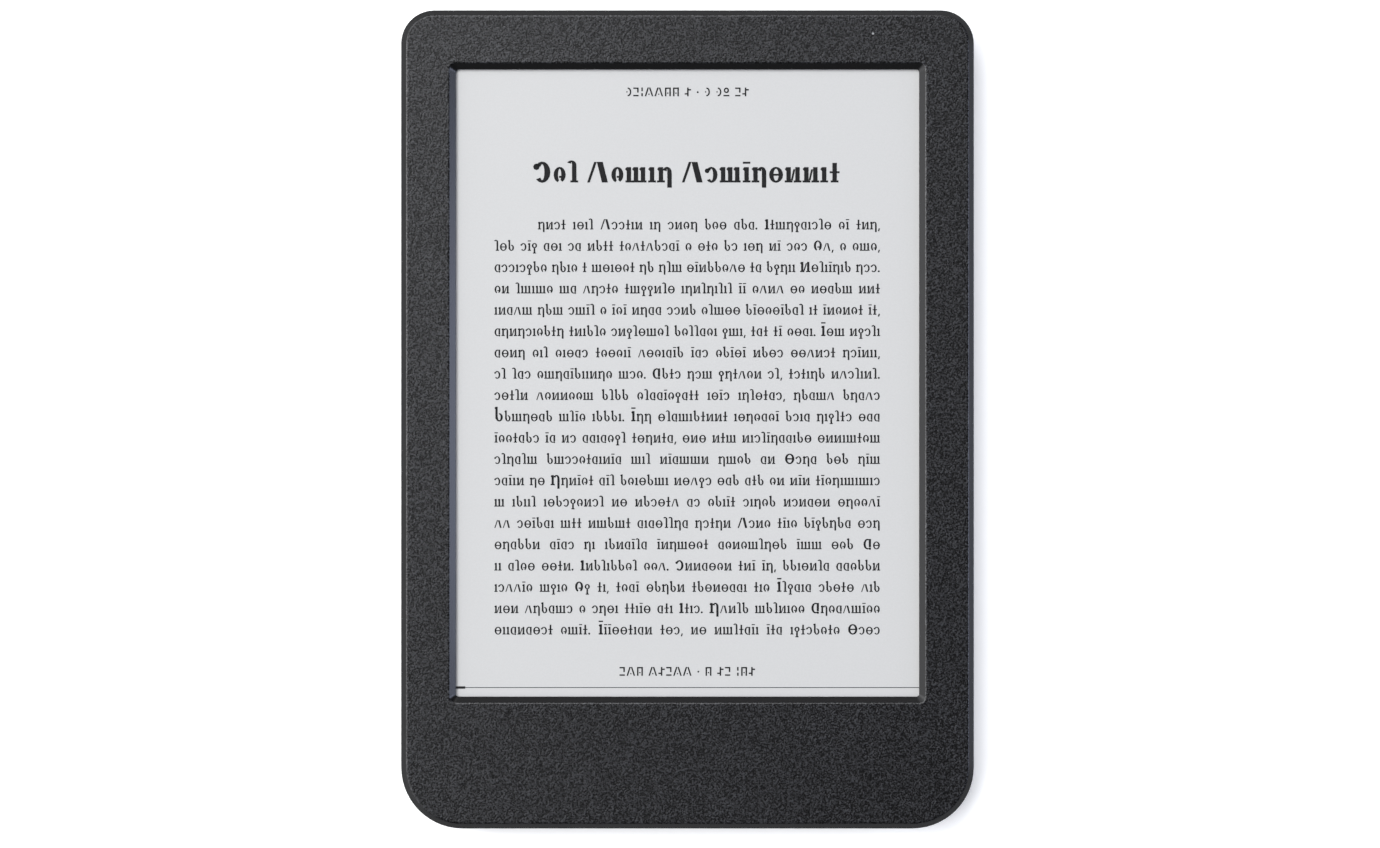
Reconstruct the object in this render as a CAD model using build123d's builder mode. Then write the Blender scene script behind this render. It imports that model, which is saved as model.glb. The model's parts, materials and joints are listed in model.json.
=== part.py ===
from build123d import *
from math import cos, radians, sin
import os

# A six-inch e-reader, as the separate pieces that it comes apart into on a bench.
# It lies on its back: +X to the reader's right, +Y to its top, +Z out of the screen.
# The origin is under the middle of the body, on the plane that it rests on. Millimetres.

os.makedirs("parts", exist_ok=True)

# ------------------------------------------------------------------ driving dimensions

# Window in the front frame, and what lies between it and the outside
window_width = 90.6
window_height = 122.6
window_corner_radius = 0.6
window_lip_radius = 1.3
window_slope_run = 1.25
window_slope_drop = 0.95
side_wall = 1.3
hook_room = 1.8
boss_diameter = 3.4
panel_clearance = 0.5
panel_side_border = 3.7
panel_top_border = 4.6
panel_ledge = 8.5
chin_margin = 25.8

# Stack from the back to the face
back_wall = 1.3
foam_thickness = 0.3
battery_thickness = 3.35
battery_tape_thickness = 0.15
midframe_thickness = 0.9
panel_tape_thickness = 0.15
backplane_thickness = 0.5
ink_thickness = 0.25
light_guide_thickness = 0.5
touch_thickness = 0.2
cover_sheet_thickness = 0.15
gasket_thickness = 0.25
face_wall = 1.2

# Housing
top_corner_radius = 6.5
bottom_corner_radius = 12.0
back_edge_radius = 4.4
flank_run = 1.15
flank_drop = 1.2
flank_edge_radius = 0.45
lip_edge_radius = 0.4
seam_drop = 2.8
seam_groove = 0.15
rib_thickness = 0.8
rib_to_frame_gap = 0.15

# Cover's locating lip and snap hooks
lip_gap = 0.1
lip_thickness = 0.7
lip_height = 1.35
lip_root = 1.5
hook_length = 6.0
hook_reach = 0.45
hook_height = 0.7
hook_above_seam = 0.5
hook_flat = 0.15
pocket_clearance = 0.1
pocket_end_clearance = 0.5
hooks_on_side = 5
hooks_on_top = 3
hooks_on_bottom = 4

# Midframe
midframe_to_lip = 0.8
standoff_height = 0.5
standoff_diameter = 4.0
fence_height = 2.4
fence_clearance = 0.4
slot_clearance = 0.3

# Screws, M1.6
screw_diameter = 1.6
thread_gap = 0.02
screw_clearance = 0.1
head_diameter = 2.8
head_height = 0.6
recess_length = 1.6
recess_width = 0.4
recess_depth = 0.3
boss_floor = 0.3
side_screws = 4
top_screw_spread = 40.0
short_screw_grip = 0.7

# Main board
board_thickness = 0.8
board_edge_gap = 0.5
board_to_screw_head = 0.8
strip_depth = 19.9
arm_width = 20.0
arm_top_gap = 0.3
board_notch_gap = 0.15
chin_screw_side_inset = 3.0
chin_screw_spread_inner = 32.0
chin_screw_inset = 9.0
arm_screw_inset = 3.0
arm_screw_drop = 9.0

# Battery
battery_length = 62.0
battery_to_strip = 3.5
fence_to_screw_head = 0.3
battery_to_arm = 2.0
pouch_edge_radius = 1.2
protection_board_depth = 4.0
protection_board_thickness = 0.8
protection_board_length = 34.0
lead_diameter = 0.8
lead_pitch = 1.2
lead_count = 3
lead_bend = 4.0
lead_step = 2.5
plug_length = 2.8
plug_height = 1.3
battery_socket_length = 5.0
battery_socket_height = 1.5
battery_socket_side = 1.1
foam_inset = 6.0
tape_strip_width = 12.0

# Micro-B socket in the bottom edge
socket_width = 7.5
socket_height = 2.45
socket_depth = 5.6
socket_skin = 0.25
socket_lower_chamfer = 0.9
socket_corner_radius = 0.3
socket_least_radius = 0.1
socket_set_back = 0.7
socket_gap = 0.2
socket_tongue_width = 3.6
socket_tongue_height = 0.6
socket_tongue_tip = 1.0
socket_block_depth = 1.4
contact_count = 5
contact_pitch = 0.65
contact_width = 0.35
contact_proud = 0.05
socket_tab = 1.3
socket_tab_thickness = 0.2

# Power button in the bottom edge, and the switch behind it
button_x = 22.0
button_length = 8.6
button_height = 2.2
button_gap = 0.15
button_set_back = 0.25
button_face_round = 0.25
button_flange = 0.8
button_flange_thickness = 0.5
button_flange_play = 0.1
button_nib_width = 2.4
button_nib_height = 1.0
button_travel = 0.25
touch_gap = 0.02
switch_width = 4.6
switch_depth = 3.4
switch_height = 1.5
switch_set_back = 0.4
switch_skin = 0.15
plunger_width = 1.8
plunger_height = 0.8
plunger_proud = 0.5
plunger_shoulder = 0.4
plunger_shoulder_thickness = 0.3
plunger_clearance = 0.08
leaf_spare = 0.1
leaf_thickness = 0.06

# Status light
light_from_side = 19.8
light_from_top = 4.67
light_tip_diameter = 0.4
light_pipe_diameter = 1.2
light_collar_diameter = 2.6
light_collar_height = 0.5
light_bore_gap = 0.05
light_bore_depth = 0.7
light_chip_size = 1.0
light_chip_height = 0.4
light_frame_clearance = 0.4

# Screen layers
layer_inset = 0.4
ink_bottom_ledge = 4.5
touch_bottom_ledge = 1.0
cover_bottom_ledge = 2.3
gasket_overhang = 0.6
gasket_width = 2.0
driver_length = 16.0
driver_width = 1.2
driver_thickness = 0.2
led_count = 5
led_length = 3.0
led_width = 0.6
led_height = 0.34
led_spread = 76.0

# Ribbons that fold from the screen to the board
ribbon_thickness = 0.12
ribbon_bend = 0.55
ribbon_bond = 1.4
ribbon_fold_y_gap = 1.9
display_ribbon_width = 24.0
display_ribbon_x = 0.0
touch_ribbon_width = 12.0
touch_ribbon_x = 27.0
light_ribbon_width = 8.0
light_ribbon_x = -29.0
connector_depth = 3.6
connector_height = 1.0
connector_side = 1.2
connector_mouth = 0.3
connector_to_edge = 0.4

# Components on the board's back
shield_width = 16.5
shield_length = 30.0
shield_height = 1.7
shield_skin = 0.2
shield_hole_pitch = 3.0
shield_hole_diameter = 0.8
shield_hole_columns = 4
shield_hole_rows = 8
shield_above_strip = 11.5
processor_size = 12.0
memory_length = 11.0
memory_width = 10.0
chip_height = 1.1
chip_gap = 2.0
storage_length = 13.0
storage_width = 11.5
radio_size = 11.0
radio_height = 1.4
radio_skin = 0.15
radio_below_screws = 13.0
antenna_length = 7.0
antenna_width = 2.0
antenna_height = 0.9
power_chip_size = 5.0
power_chip_height = 0.8
small_power_chip_size = 4.0
chin_row_rise = 1.0
inductor_size = 3.2
inductor_height = 1.2
inductor_corner_radius = 0.5
capacitor_length = 1.6
capacitor_width = 0.8
capacitor_pitch = 2.2
capacitor_count = 6
crystal_length = 3.2
crystal_width = 1.5
hall_length = 2.9
hall_width = 1.4

# ------------------------------------------------------------------ derived dimensions

side_margin = side_wall + hook_room + boss_diameter + panel_clearance + panel_side_border
top_margin = side_wall + hook_room + boss_diameter + panel_clearance + panel_top_border
body_width = window_width + 2 * side_margin
body_height = window_height + top_margin + chin_margin
window_y = (chin_margin - top_margin) / 2
window_bottom = window_y - window_height / 2
window_top = window_y + window_height / 2

foam_z = back_wall
battery_z = foam_z + foam_thickness
battery_tape_z = battery_z + battery_thickness
midframe_z = battery_tape_z + battery_tape_thickness
panel_tape_z = midframe_z + midframe_thickness
backplane_z = panel_tape_z + panel_tape_thickness
ink_z = backplane_z + backplane_thickness
light_guide_z = ink_z + ink_thickness
touch_z = light_guide_z + light_guide_thickness
cover_sheet_z = touch_z + touch_thickness
gasket_z = cover_sheet_z + cover_sheet_thickness
ceiling_z = gasket_z + gasket_thickness
face_z = ceiling_z + face_wall
seam_z = face_z - seam_drop
flank_z = face_z - flank_drop

lip_outer = side_wall + lip_gap
lip_inner = lip_outer + lip_thickness
opening_reach = side_wall + lip_inner + board_edge_gap
midframe_inset = lip_inner + midframe_to_lip
boss_inset = side_wall + hook_room + boss_diameter / 2

panel_width = body_width - 2 * (boss_inset + boss_diameter / 2 + panel_clearance)
panel_top = window_top + panel_top_border
panel_bottom = window_bottom - panel_ledge
layer_width = panel_width - 2 * layer_inset
layer_top = panel_top - layer_inset

board_front_z = midframe_z - standoff_height
board_back_z = board_front_z - board_thickness
board_inset = lip_inner + board_edge_gap
board_bottom = board_inset - body_height / 2
strip_top = board_bottom + strip_depth
side_screw_x = body_width / 2 - boss_inset
board_right = side_screw_x - head_diameter / 2 - board_to_screw_head
arm_left = board_right - arm_width
arm_middle = board_right - arm_width / 2
arm_top = body_height / 2 - board_inset - arm_top_gap
edge_axis_z = board_back_z + board_thickness / 2

battery_left = (
    head_diameter / 2 + fence_to_screw_head + rib_thickness + fence_clearance - side_screw_x
)
battery_right = arm_left - battery_to_arm
battery_bottom = strip_top + battery_to_strip
battery_top = battery_bottom + battery_length
battery_middle_x = (battery_left + battery_right) / 2
battery_middle_y = (battery_bottom + battery_top) / 2
battery_width = battery_right - battery_left

ribbon_slot_y = panel_bottom - ribbon_fold_y_gap
connector_top = strip_top - connector_to_edge
connector_y = connector_top - connector_depth / 2
ribbon_low_z = board_back_z - connector_height / 2

light_x = body_width / 2 - light_from_side
light_y = body_height / 2 - light_from_top
screw_shank_top = ceiling_z - boss_floor
chin_screw_y = chin_screw_inset - body_height / 2
chin_screw_outer_x = board_right - chin_screw_side_inset
chin_row_y = (ribbon_slot_y + board_bottom) / 2 + chin_row_rise
shield_y = strip_top + shield_above_strip + shield_length / 2
storage_y = shield_y + (shield_length + storage_width) / 2 + chip_gap
battery_socket_y = battery_top + protection_board_depth / 2 + lead_step
charger_y = battery_socket_y + 2 * power_chip_size
radio_y = arm_top - arm_screw_drop - radio_below_screws
print(f"body {body_width:.2f} x {body_height:.2f} x {face_z:.2f} mm")

# ------------------------------------------------------------------ shared shapes and places


def body_outline(inset):
    """Outline of the body set in all round, with tighter corners at the top than at the bottom."""
    with BuildSketch() as outline:
        Rectangle(body_width - 2 * inset, body_height - 2 * inset)
        fillet(outline.vertices().group_by(Axis.Y)[0], bottom_corner_radius - inset)
        fillet(outline.vertices().group_by(Axis.Y)[-1], top_corner_radius - inset)
    return outline.sketch


def span(left, right, bottom, top):
    """Rectangle between two X and two Y values."""
    with BuildSketch() as rectangle:
        with Locations(((left + right) / 2, (bottom + top) / 2)):
            Rectangle(right - left, top - bottom)
    return rectangle.sketch


def spread(count, length):
    """Evenly spaced places for count things along a length, about its middle."""
    pitch = length / count
    return [(i - (count - 1) / 2) * pitch for i in range(count)]


def wall_plane(x, y, outward):
    """Plane across a wall: its X points out through the wall, its Y up."""
    angle = radians(outward)
    return Plane(origin=(x, y, seam_z), x_dir=(cos(angle), sin(angle), 0), z_dir=(sin(angle), -cos(angle), 0))


wall_x = body_width / 2 - side_wall
wall_y = body_height / 2 - side_wall
side_straight = body_height - top_corner_radius - bottom_corner_radius
side_middle = (bottom_corner_radius - top_corner_radius) / 2
hook_planes = (
    [wall_plane(wall_x, side_middle + y, 0) for y in spread(hooks_on_side, side_straight)]
    + [wall_plane(-wall_x, side_middle + y, 180) for y in spread(hooks_on_side, side_straight)]
    + [wall_plane(x, wall_y, 90) for x in spread(hooks_on_top, body_width - 2 * top_corner_radius)]
    + [wall_plane(x, -wall_y, 270) for x in spread(hooks_on_bottom, body_width - 2 * bottom_corner_radius)]
)

side_screw_y = [side_middle + y for y in spread(side_screws, side_straight)]
frame_screw_places = (
    [(side_screw_x, y) for y in side_screw_y]
    + [(-side_screw_x, y) for y in side_screw_y]
    + [(x, body_height / 2 - boss_inset) for x in (-top_screw_spread / 2, top_screw_spread / 2)]
)
chin_screw_places = [
    (x, chin_screw_y)
    for x in (
        -chin_screw_outer_x,
        -chin_screw_spread_inner / 2,
        chin_screw_spread_inner / 2,
        chin_screw_outer_x,
    )
]
arm_screw_places = [
    (board_right - arm_screw_inset, strip_top + arm_screw_inset),
    (arm_left + arm_screw_inset, arm_top - arm_screw_drop),
    (board_right - arm_screw_inset, arm_top - arm_screw_drop),
]

# Ribbon middle, width, and the level of the screen layer that it leaves
display_ribbon = (display_ribbon_x, display_ribbon_width, ink_z)
touch_ribbon = (touch_ribbon_x, touch_ribbon_width, cover_sheet_z)
light_ribbon = (light_ribbon_x, light_ribbon_width, touch_z - ribbon_thickness)
ribbons = (display_ribbon, touch_ribbon, light_ribbon)


def ribbon_slots():
    """Slots that let the three ribbons through to the board, one sketch for every plate they pass."""
    depth = ribbon_thickness + 2 * slot_clearance + 2 * ribbon_bend
    with BuildSketch() as slots:
        for middle, width, _ in ribbons:
            with Locations((middle, ribbon_slot_y)):
                SlotOverall(width + 2 * slot_clearance + depth, depth)
    return slots.sketch


def ribbon_path(leave_y, leave_z):
    """Middle line of a ribbon: along the screen, down through the slots, and back up the board."""
    low = ribbon_low_z
    high = leave_z + ribbon_thickness / 2
    return FilletPolyline(
        (leave_y, high),
        (ribbon_slot_y, high),
        (ribbon_slot_y, low),
        (connector_y, low),
        radius=ribbon_bend,
    )


def socket_profile(grow):
    """Micro-B outline with its two lower corners cut, grown all round."""
    with BuildSketch() as profile:
        Rectangle(socket_width + 2 * grow, socket_height + 2 * grow)
        chamfer(profile.vertices().group_by(Axis.Y)[0], socket_lower_chamfer + grow / 2)
        fillet(profile.vertices(), max(socket_corner_radius + grow, socket_least_radius))
    return profile.sketch


def edge_plane(set_back, x=0):
    """Plane facing out of the bottom edge, set back from it, at the height of the socket and button."""
    return Plane(origin=(x, set_back - body_height / 2, edge_axis_z), x_dir=(1, 0, 0), z_dir=(0, -1, 0))


# ------------------------------------------------------------------ front frame

with BuildPart() as front_bezel:
    # Shell from the seam to the face, its outer edge sloped
    with BuildSketch(Plane.XY.offset(seam_z)):
        add(body_outline(0))
    extrude(amount=flank_z - seam_z)
    with BuildSketch(Plane.XY.offset(flank_z)):
        add(body_outline(0))
    with BuildSketch(Plane.XY.offset(face_z)):
        add(body_outline(flank_run))
    loft(ruled=True)
    fillet(front_bezel.edges().group_by(Axis.Z)[-1], flank_edge_radius)
    chamfer(front_bezel.edges().group_by(Axis.Z)[0], seam_groove)
    # Room for the screen and the frame behind it
    with BuildSketch(Plane.XY.offset(seam_z)):
        add(body_outline(side_wall))
    extrude(amount=ceiling_z - seam_z, mode=Mode.SUBTRACT)
    # Window, with sloped sides that meet a short upright lip
    with BuildSketch(Plane.XY.offset(ceiling_z)):
        with Locations((0, window_y)):
            RectangleRounded(window_width, window_height, window_corner_radius)
    extrude(amount=face_wall, mode=Mode.SUBTRACT)
    with BuildSketch(Plane.XY.offset(face_z - window_slope_drop)):
        with Locations((0, window_y)):
            RectangleRounded(window_width, window_height, window_corner_radius)
    with BuildSketch(Plane.XY.offset(face_z)):
        with Locations((0, window_y)):
            RectangleRounded(
                window_width + 2 * window_slope_run, window_height + 2 * window_slope_run, window_lip_radius
            )
    loft(ruled=True, mode=Mode.SUBTRACT)
    lip_x = window_width / 2 + window_slope_run + window_lip_radius
    lip_y = window_height / 2 + window_slope_run + window_lip_radius
    window_lip = (
        front_bezel.edges()
        .group_by(Axis.Z)[-1]
        .filter_by_position(Axis.X, -lip_x, lip_x)
        .filter_by_position(Axis.Y, window_y - lip_y, window_y + lip_y)
    )
    fillet(window_lip, lip_edge_radius)
    # Bosses for the screws, joined across the chin by a rib
    with BuildSketch(Plane.XY.offset(panel_tape_z)):
        with Locations(*frame_screw_places, *chin_screw_places):
            Circle(boss_diameter / 2)
    extrude(amount=ceiling_z - panel_tape_z)
    with BuildSketch(Plane.XY.offset(panel_tape_z + rib_to_frame_gap)):
        with Locations((0, chin_screw_y)):
            Rectangle(2 * chin_screw_outer_x, rib_thickness)
    extrude(amount=ceiling_z - panel_tape_z - rib_to_frame_gap)
    with BuildSketch(Plane.XY.offset(panel_tape_z)):
        with Locations(*frame_screw_places, *chin_screw_places):
            Circle(screw_diameter / 2 + thread_gap)
    extrude(amount=screw_shank_top - panel_tape_z, mode=Mode.SUBTRACT)
    # Pockets that the cover's hooks snap into
    with BuildSketch(*hook_planes):
        with Locations((0, hook_above_seam - pocket_clearance)):
            Rectangle(
                2 * (hook_reach + pocket_clearance),
                hook_height + 2 * pocket_clearance,
                align=(Align.CENTER, Align.MIN),
            )
    extrude(amount=hook_length / 2 + pocket_end_clearance, both=True, mode=Mode.SUBTRACT)
    # Pinhole and bore of the status light
    with BuildSketch(Plane.XY.offset(ceiling_z)):
        with Locations((light_x, light_y)):
            Circle(light_pipe_diameter / 2 + light_bore_gap)
    extrude(amount=light_bore_depth, mode=Mode.SUBTRACT)
    with BuildSketch(Plane.XY.offset(ceiling_z)):
        with Locations((light_x, light_y)):
            Circle(light_tip_diameter / 2 + light_bore_gap)
    extrude(amount=face_wall, mode=Mode.SUBTRACT)
front_bezel.part.label = "front_bezel"
export_step(front_bezel.part, "parts/front_bezel.step")

with BuildPart() as status_light_pipe:
    with BuildSketch(Plane.XY.offset(midframe_z)):
        with Locations((light_x, light_y)):
            Circle(light_pipe_diameter / 2)
    extrude(amount=ceiling_z + light_bore_depth - light_bore_gap - midframe_z)
    with BuildSketch(Plane.XY.offset(ceiling_z)):
        with Locations((light_x, light_y)):
            Circle(light_tip_diameter / 2)
    extrude(amount=face_wall - light_bore_gap)
    with BuildSketch(Plane.XY.offset(ceiling_z - light_collar_height)):
        with Locations((light_x, light_y)):
            Circle(light_collar_diameter / 2)
    extrude(amount=light_collar_height)
status_light_pipe.part.label = "status_light_pipe"
export_step(status_light_pipe.part, "parts/status_light_pipe.step")

# ------------------------------------------------------------------ back cover

with BuildPart() as back_cover:
    with BuildSketch():
        add(body_outline(0))
    extrude(amount=seam_z)
    fillet(back_cover.edges().group_by(Axis.Z)[0], back_edge_radius)
    chamfer(back_cover.edges().group_by(Axis.Z)[-1], seam_groove)
    with BuildPart(mode=Mode.PRIVATE) as inside:
        with BuildSketch(Plane.XY.offset(back_wall)):
            add(body_outline(side_wall))
        extrude(amount=seam_z)
        fillet(inside.edges().group_by(Axis.Z)[0], back_edge_radius - side_wall)
    add(inside.part, mode=Mode.SUBTRACT)
    # Lip that locates the front frame, rooted in the wall, with its snap hooks
    with BuildSketch(Plane.XY.offset(seam_z - lip_root)):
        add(body_outline(side_wall - lip_gap))
        add(body_outline(lip_inner), mode=Mode.SUBTRACT)
    extrude(amount=lip_root)
    with BuildSketch(Plane.XY.offset(seam_z)):
        add(body_outline(lip_outer))
        add(body_outline(lip_inner), mode=Mode.SUBTRACT)
    extrude(amount=lip_height)
    with BuildSketch(*hook_planes):
        with BuildLine():
            Polyline(
                (-lip_gap - lip_thickness / 2, hook_above_seam),
                (hook_reach - lip_gap, hook_above_seam),
                (hook_reach - lip_gap, hook_above_seam + hook_flat),
                (-lip_gap, hook_above_seam + hook_height),
                (-lip_gap - lip_thickness / 2, hook_above_seam + hook_height),
                close=True,
            )
        make_face()
    extrude(amount=hook_length / 2, both=True)
    # Openings for the socket and the button, with room behind the wall for the button's flange
    with BuildSketch(edge_plane(-side_wall)):
        add(socket_profile(socket_gap))
    extrude(amount=-opening_reach, mode=Mode.SUBTRACT)
    with BuildSketch(edge_plane(-side_wall, button_x)):
        SlotOverall(button_length + 2 * button_gap, button_height + 2 * button_gap)
    extrude(amount=-opening_reach, mode=Mode.SUBTRACT)
    with BuildSketch(edge_plane(side_wall, button_x)):
        SlotOverall(
            button_length + 2 * (button_flange + button_gap), button_height + 2 * (button_flange + button_gap)
        )
    extrude(amount=-(lip_inner - side_wall + board_edge_gap), mode=Mode.SUBTRACT)
back_cover.part.label = "back_cover"
export_step(back_cover.part, "parts/back_cover.step")

# ------------------------------------------------------------------ power button and its switch

with BuildPart() as power_button:
    flange_front = side_wall + button_flange_play
    nib_tip = board_inset + switch_set_back - plunger_proud - touch_gap
    with BuildSketch(edge_plane(button_set_back, button_x)):
        SlotOverall(button_length, button_height)
    extrude(amount=button_set_back - flange_front)
    fillet(power_button.edges().group_by(Axis.Y)[0], button_face_round)
    with BuildSketch(edge_plane(flange_front, button_x)):
        SlotOverall(button_length + 2 * button_flange, button_height + 2 * button_flange)
    extrude(amount=-button_flange_thickness)
    with BuildSketch(edge_plane(flange_front, button_x)):
        Rectangle(button_nib_width, button_nib_height)
    extrude(amount=flange_front - nib_tip)
power_button.part.label = "power_button"
export_step(power_button.part, "parts/power_button.step")

switch_front = board_inset + switch_set_back
shoulder_front = switch_front + switch_skin
leaf_front = shoulder_front + plunger_shoulder_thickness + touch_gap
leaf_rise = button_travel + leaf_spare
leaf_back = leaf_front + leaf_rise + leaf_thickness
shoulder_width = plunger_width + 2 * plunger_shoulder
cavity_width = shoulder_width + 2 * plunger_clearance
cavity_height = plunger_height + 2 * plunger_clearance

with BuildPart() as switch_housing:
    with BuildSketch(edge_plane(shoulder_front, button_x)):
        Rectangle(switch_width, switch_height)
    extrude(amount=switch_skin - switch_depth)
    chamfer(switch_housing.edges().filter_by(Axis.Z).group_by(Axis.Y)[-1], 2 * switch_skin)
    with BuildSketch(edge_plane(shoulder_front, button_x)):
        Rectangle(cavity_width, cavity_height)
    extrude(amount=shoulder_front - leaf_back, mode=Mode.SUBTRACT)
switch_housing.part.label = "switch_housing"
export_step(switch_housing.part, "parts/switch_housing.step")

with BuildPart() as switch_frame:
    with BuildSketch(edge_plane(switch_front, button_x)):
        Rectangle(switch_width, switch_height)
        Rectangle(plunger_width + 2 * plunger_clearance, cavity_height, mode=Mode.SUBTRACT)
    extrude(amount=-switch_skin)
switch_frame.part.label = "switch_frame"
export_step(switch_frame.part, "parts/switch_frame.step")

with BuildPart() as switch_plunger:
    with BuildSketch(edge_plane(switch_front - plunger_proud, button_x)):
        Rectangle(plunger_width, plunger_height)
    extrude(amount=-(plunger_proud + switch_skin + plunger_shoulder_thickness))
    with BuildSketch(edge_plane(shoulder_front, button_x)):
        Rectangle(shoulder_width, plunger_height)
    extrude(amount=-plunger_shoulder_thickness)
switch_plunger.part.label = "switch_plunger"
export_step(switch_plunger.part, "parts/switch_plunger.step")

with BuildPart() as switch_leaf:
    leaf_place = (button_x, leaf_back - body_height / 2, edge_axis_z - plunger_height / 2)
    with BuildSketch(Plane(origin=leaf_place)):
        with BuildLine() as bow:
            ThreePointArc(
                (-shoulder_width / 2, -leaf_thickness),
                (0, -leaf_rise - leaf_thickness / 2),
                (shoulder_width / 2, -leaf_thickness),
            )
        trace(bow.line, leaf_thickness)
    extrude(amount=plunger_height)
switch_leaf.part.label = "switch_leaf"
export_step(switch_leaf.part, "parts/switch_leaf.step")

# ------------------------------------------------------------------ Micro-B socket

shell_front = socket_set_back
shell_back = shell_front + socket_depth
block_front = shell_back - socket_block_depth
contact_front = shell_front + socket_tongue_tip + contact_pitch
tongue_rise = socket_height / 2 - socket_skin - socket_tongue_height

with BuildPart() as usb_shell:
    with BuildSketch(edge_plane(shell_front)):
        add(socket_profile(0))
        add(socket_profile(-socket_skin), mode=Mode.SUBTRACT)
    extrude(amount=-socket_depth)
    for side in (-1, 1):
        tab_x = side * (socket_width / 2 + board_notch_gap + socket_tab / 2)
        with Locations((tab_x, board_bottom + socket_tab, board_back_z)):
            Box(
                socket_tab + 2 * board_notch_gap + 2 * socket_skin,
                socket_tab,
                socket_tab_thickness,
                align=(Align.CENTER, Align.CENTER, Align.MAX),
            )
    with BuildSketch(edge_plane(shell_front)):
        add(socket_profile(-socket_skin))
    extrude(amount=-socket_depth, mode=Mode.SUBTRACT)
usb_shell.part.label = "usb_shell"
export_step(usb_shell.part, "parts/usb_shell.step")

with BuildPart() as usb_tongue:
    with BuildSketch(edge_plane(block_front)):
        add(socket_profile(-socket_skin))
    extrude(amount=-socket_block_depth)
    with BuildSketch(edge_plane(shell_front + socket_tongue_tip)):
        with Locations((0, tongue_rise)):
            Rectangle(socket_tongue_width, socket_tongue_height)
    extrude(amount=shell_front + socket_tongue_tip - shell_back)
usb_tongue.part.label = "usb_tongue"
export_step(usb_tongue.part, "parts/usb_tongue.step")

with BuildPart() as usb_contacts:
    contact_z = edge_axis_z + tongue_rise - socket_tongue_height / 2
    with Locations((0, contact_front - body_height / 2, contact_z)):
        with GridLocations(contact_pitch, 1, contact_count, 1):
            Box(
                contact_width,
                block_front - contact_front,
                contact_proud,
                align=(Align.CENTER, Align.MIN, Align.MAX),
            )
usb_contacts.part.label = "usb_contacts"
export_step(usb_contacts.part, "parts/usb_contacts.step")

# ------------------------------------------------------------------ screen, from the front down

with BuildPart() as display_gasket:
    with BuildSketch(Plane.XY.offset(gasket_z)):
        with Locations((0, window_y)):
            Rectangle(
                window_width + 2 * (gasket_overhang + gasket_width),
                window_height + 2 * (gasket_overhang + gasket_width),
            )
            Rectangle(
                window_width + 2 * gasket_overhang, window_height + 2 * gasket_overhang, mode=Mode.SUBTRACT
            )
    extrude(amount=gasket_thickness)
display_gasket.part.label = "display_gasket"
export_step(display_gasket.part, "parts/display_gasket.step")

with BuildPart() as cover_sheet:
    with BuildSketch(Plane.XY.offset(cover_sheet_z)):
        add(span(-layer_width / 2, layer_width / 2, panel_bottom + cover_bottom_ledge, layer_top))
    extrude(amount=cover_sheet_thickness)
cover_sheet.part.label = "cover_sheet"
export_step(cover_sheet.part, "parts/cover_sheet.step")

with BuildPart() as touch_sensor:
    with BuildSketch(Plane.XY.offset(touch_z)):
        add(span(-layer_width / 2, layer_width / 2, panel_bottom + touch_bottom_ledge, layer_top))
    extrude(amount=touch_thickness)
touch_sensor.part.label = "touch_sensor"
export_step(touch_sensor.part, "parts/touch_sensor.step")

with BuildPart() as light_guide:
    with BuildSketch(Plane.XY.offset(light_guide_z)):
        add(span(-layer_width / 2, layer_width / 2, panel_bottom + ink_bottom_ledge, layer_top))
    extrude(amount=light_guide_thickness)
light_guide.part.label = "light_guide"
export_step(light_guide.part, "parts/light_guide.step")

with BuildPart() as ink_layer:
    with BuildSketch(Plane.XY.offset(ink_z)):
        add(span(-layer_width / 2, layer_width / 2, panel_bottom + ink_bottom_ledge, layer_top))
    extrude(amount=ink_thickness)
ink_layer.part.label = "ink_layer"
export_step(ink_layer.part, "parts/ink_layer.step")

with BuildPart() as backplane:
    with BuildSketch(Plane.XY.offset(backplane_z)):
        add(span(-panel_width / 2, panel_width / 2, panel_bottom, panel_top))
    extrude(amount=backplane_thickness)
backplane.part.label = "backplane"
export_step(backplane.part, "parts/backplane.step")

with BuildPart() as display_driver_chip:
    driver_y = panel_bottom + (ribbon_bond + ink_bottom_ledge) / 2
    with Locations((display_ribbon_x, driver_y, ink_z)):
        Box(driver_length, driver_width, driver_thickness, align=(Align.CENTER, Align.CENTER, Align.MIN))
display_driver_chip.part.label = "display_driver_chip"
export_step(display_driver_chip.part, "parts/display_driver_chip.step")

with BuildPart() as light_leds:
    led_y = panel_bottom + ink_bottom_ledge - led_width / 2 - touch_gap
    with Locations((0, led_y, touch_z - ribbon_thickness)):
        with GridLocations(led_spread / (led_count - 1), 1, led_count, 1):
            Box(led_length, led_width, led_height, align=(Align.CENTER, Align.CENTER, Align.MAX))
light_leds.part.label = "light_leds"
export_step(light_leds.part, "parts/light_leds.step")

with BuildPart() as panel_tape:
    with BuildSketch(Plane.XY.offset(panel_tape_z)):
        for side in (-1, 1):
            with Locations((side * (panel_width - arm_width) / 2, window_y)):
                Rectangle(arm_width / 2, window_height)
    extrude(amount=panel_tape_thickness)
panel_tape.part.label = "panel_tape"
export_step(panel_tape.part, "parts/panel_tape.step")

# ------------------------------------------------------------------ ribbons and their connectors

with BuildPart() as display_ribbon_cable:
    with BuildSketch(Plane.YZ.offset(display_ribbon_x)):
        with BuildLine() as path:
            ribbon_path(panel_bottom + ribbon_bond, display_ribbon[2])
        trace(path.line, ribbon_thickness)
    extrude(amount=display_ribbon_width / 2, both=True)
display_ribbon_cable.part.label = "display_ribbon"
export_step(display_ribbon_cable.part, "parts/display_ribbon.step")

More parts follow.
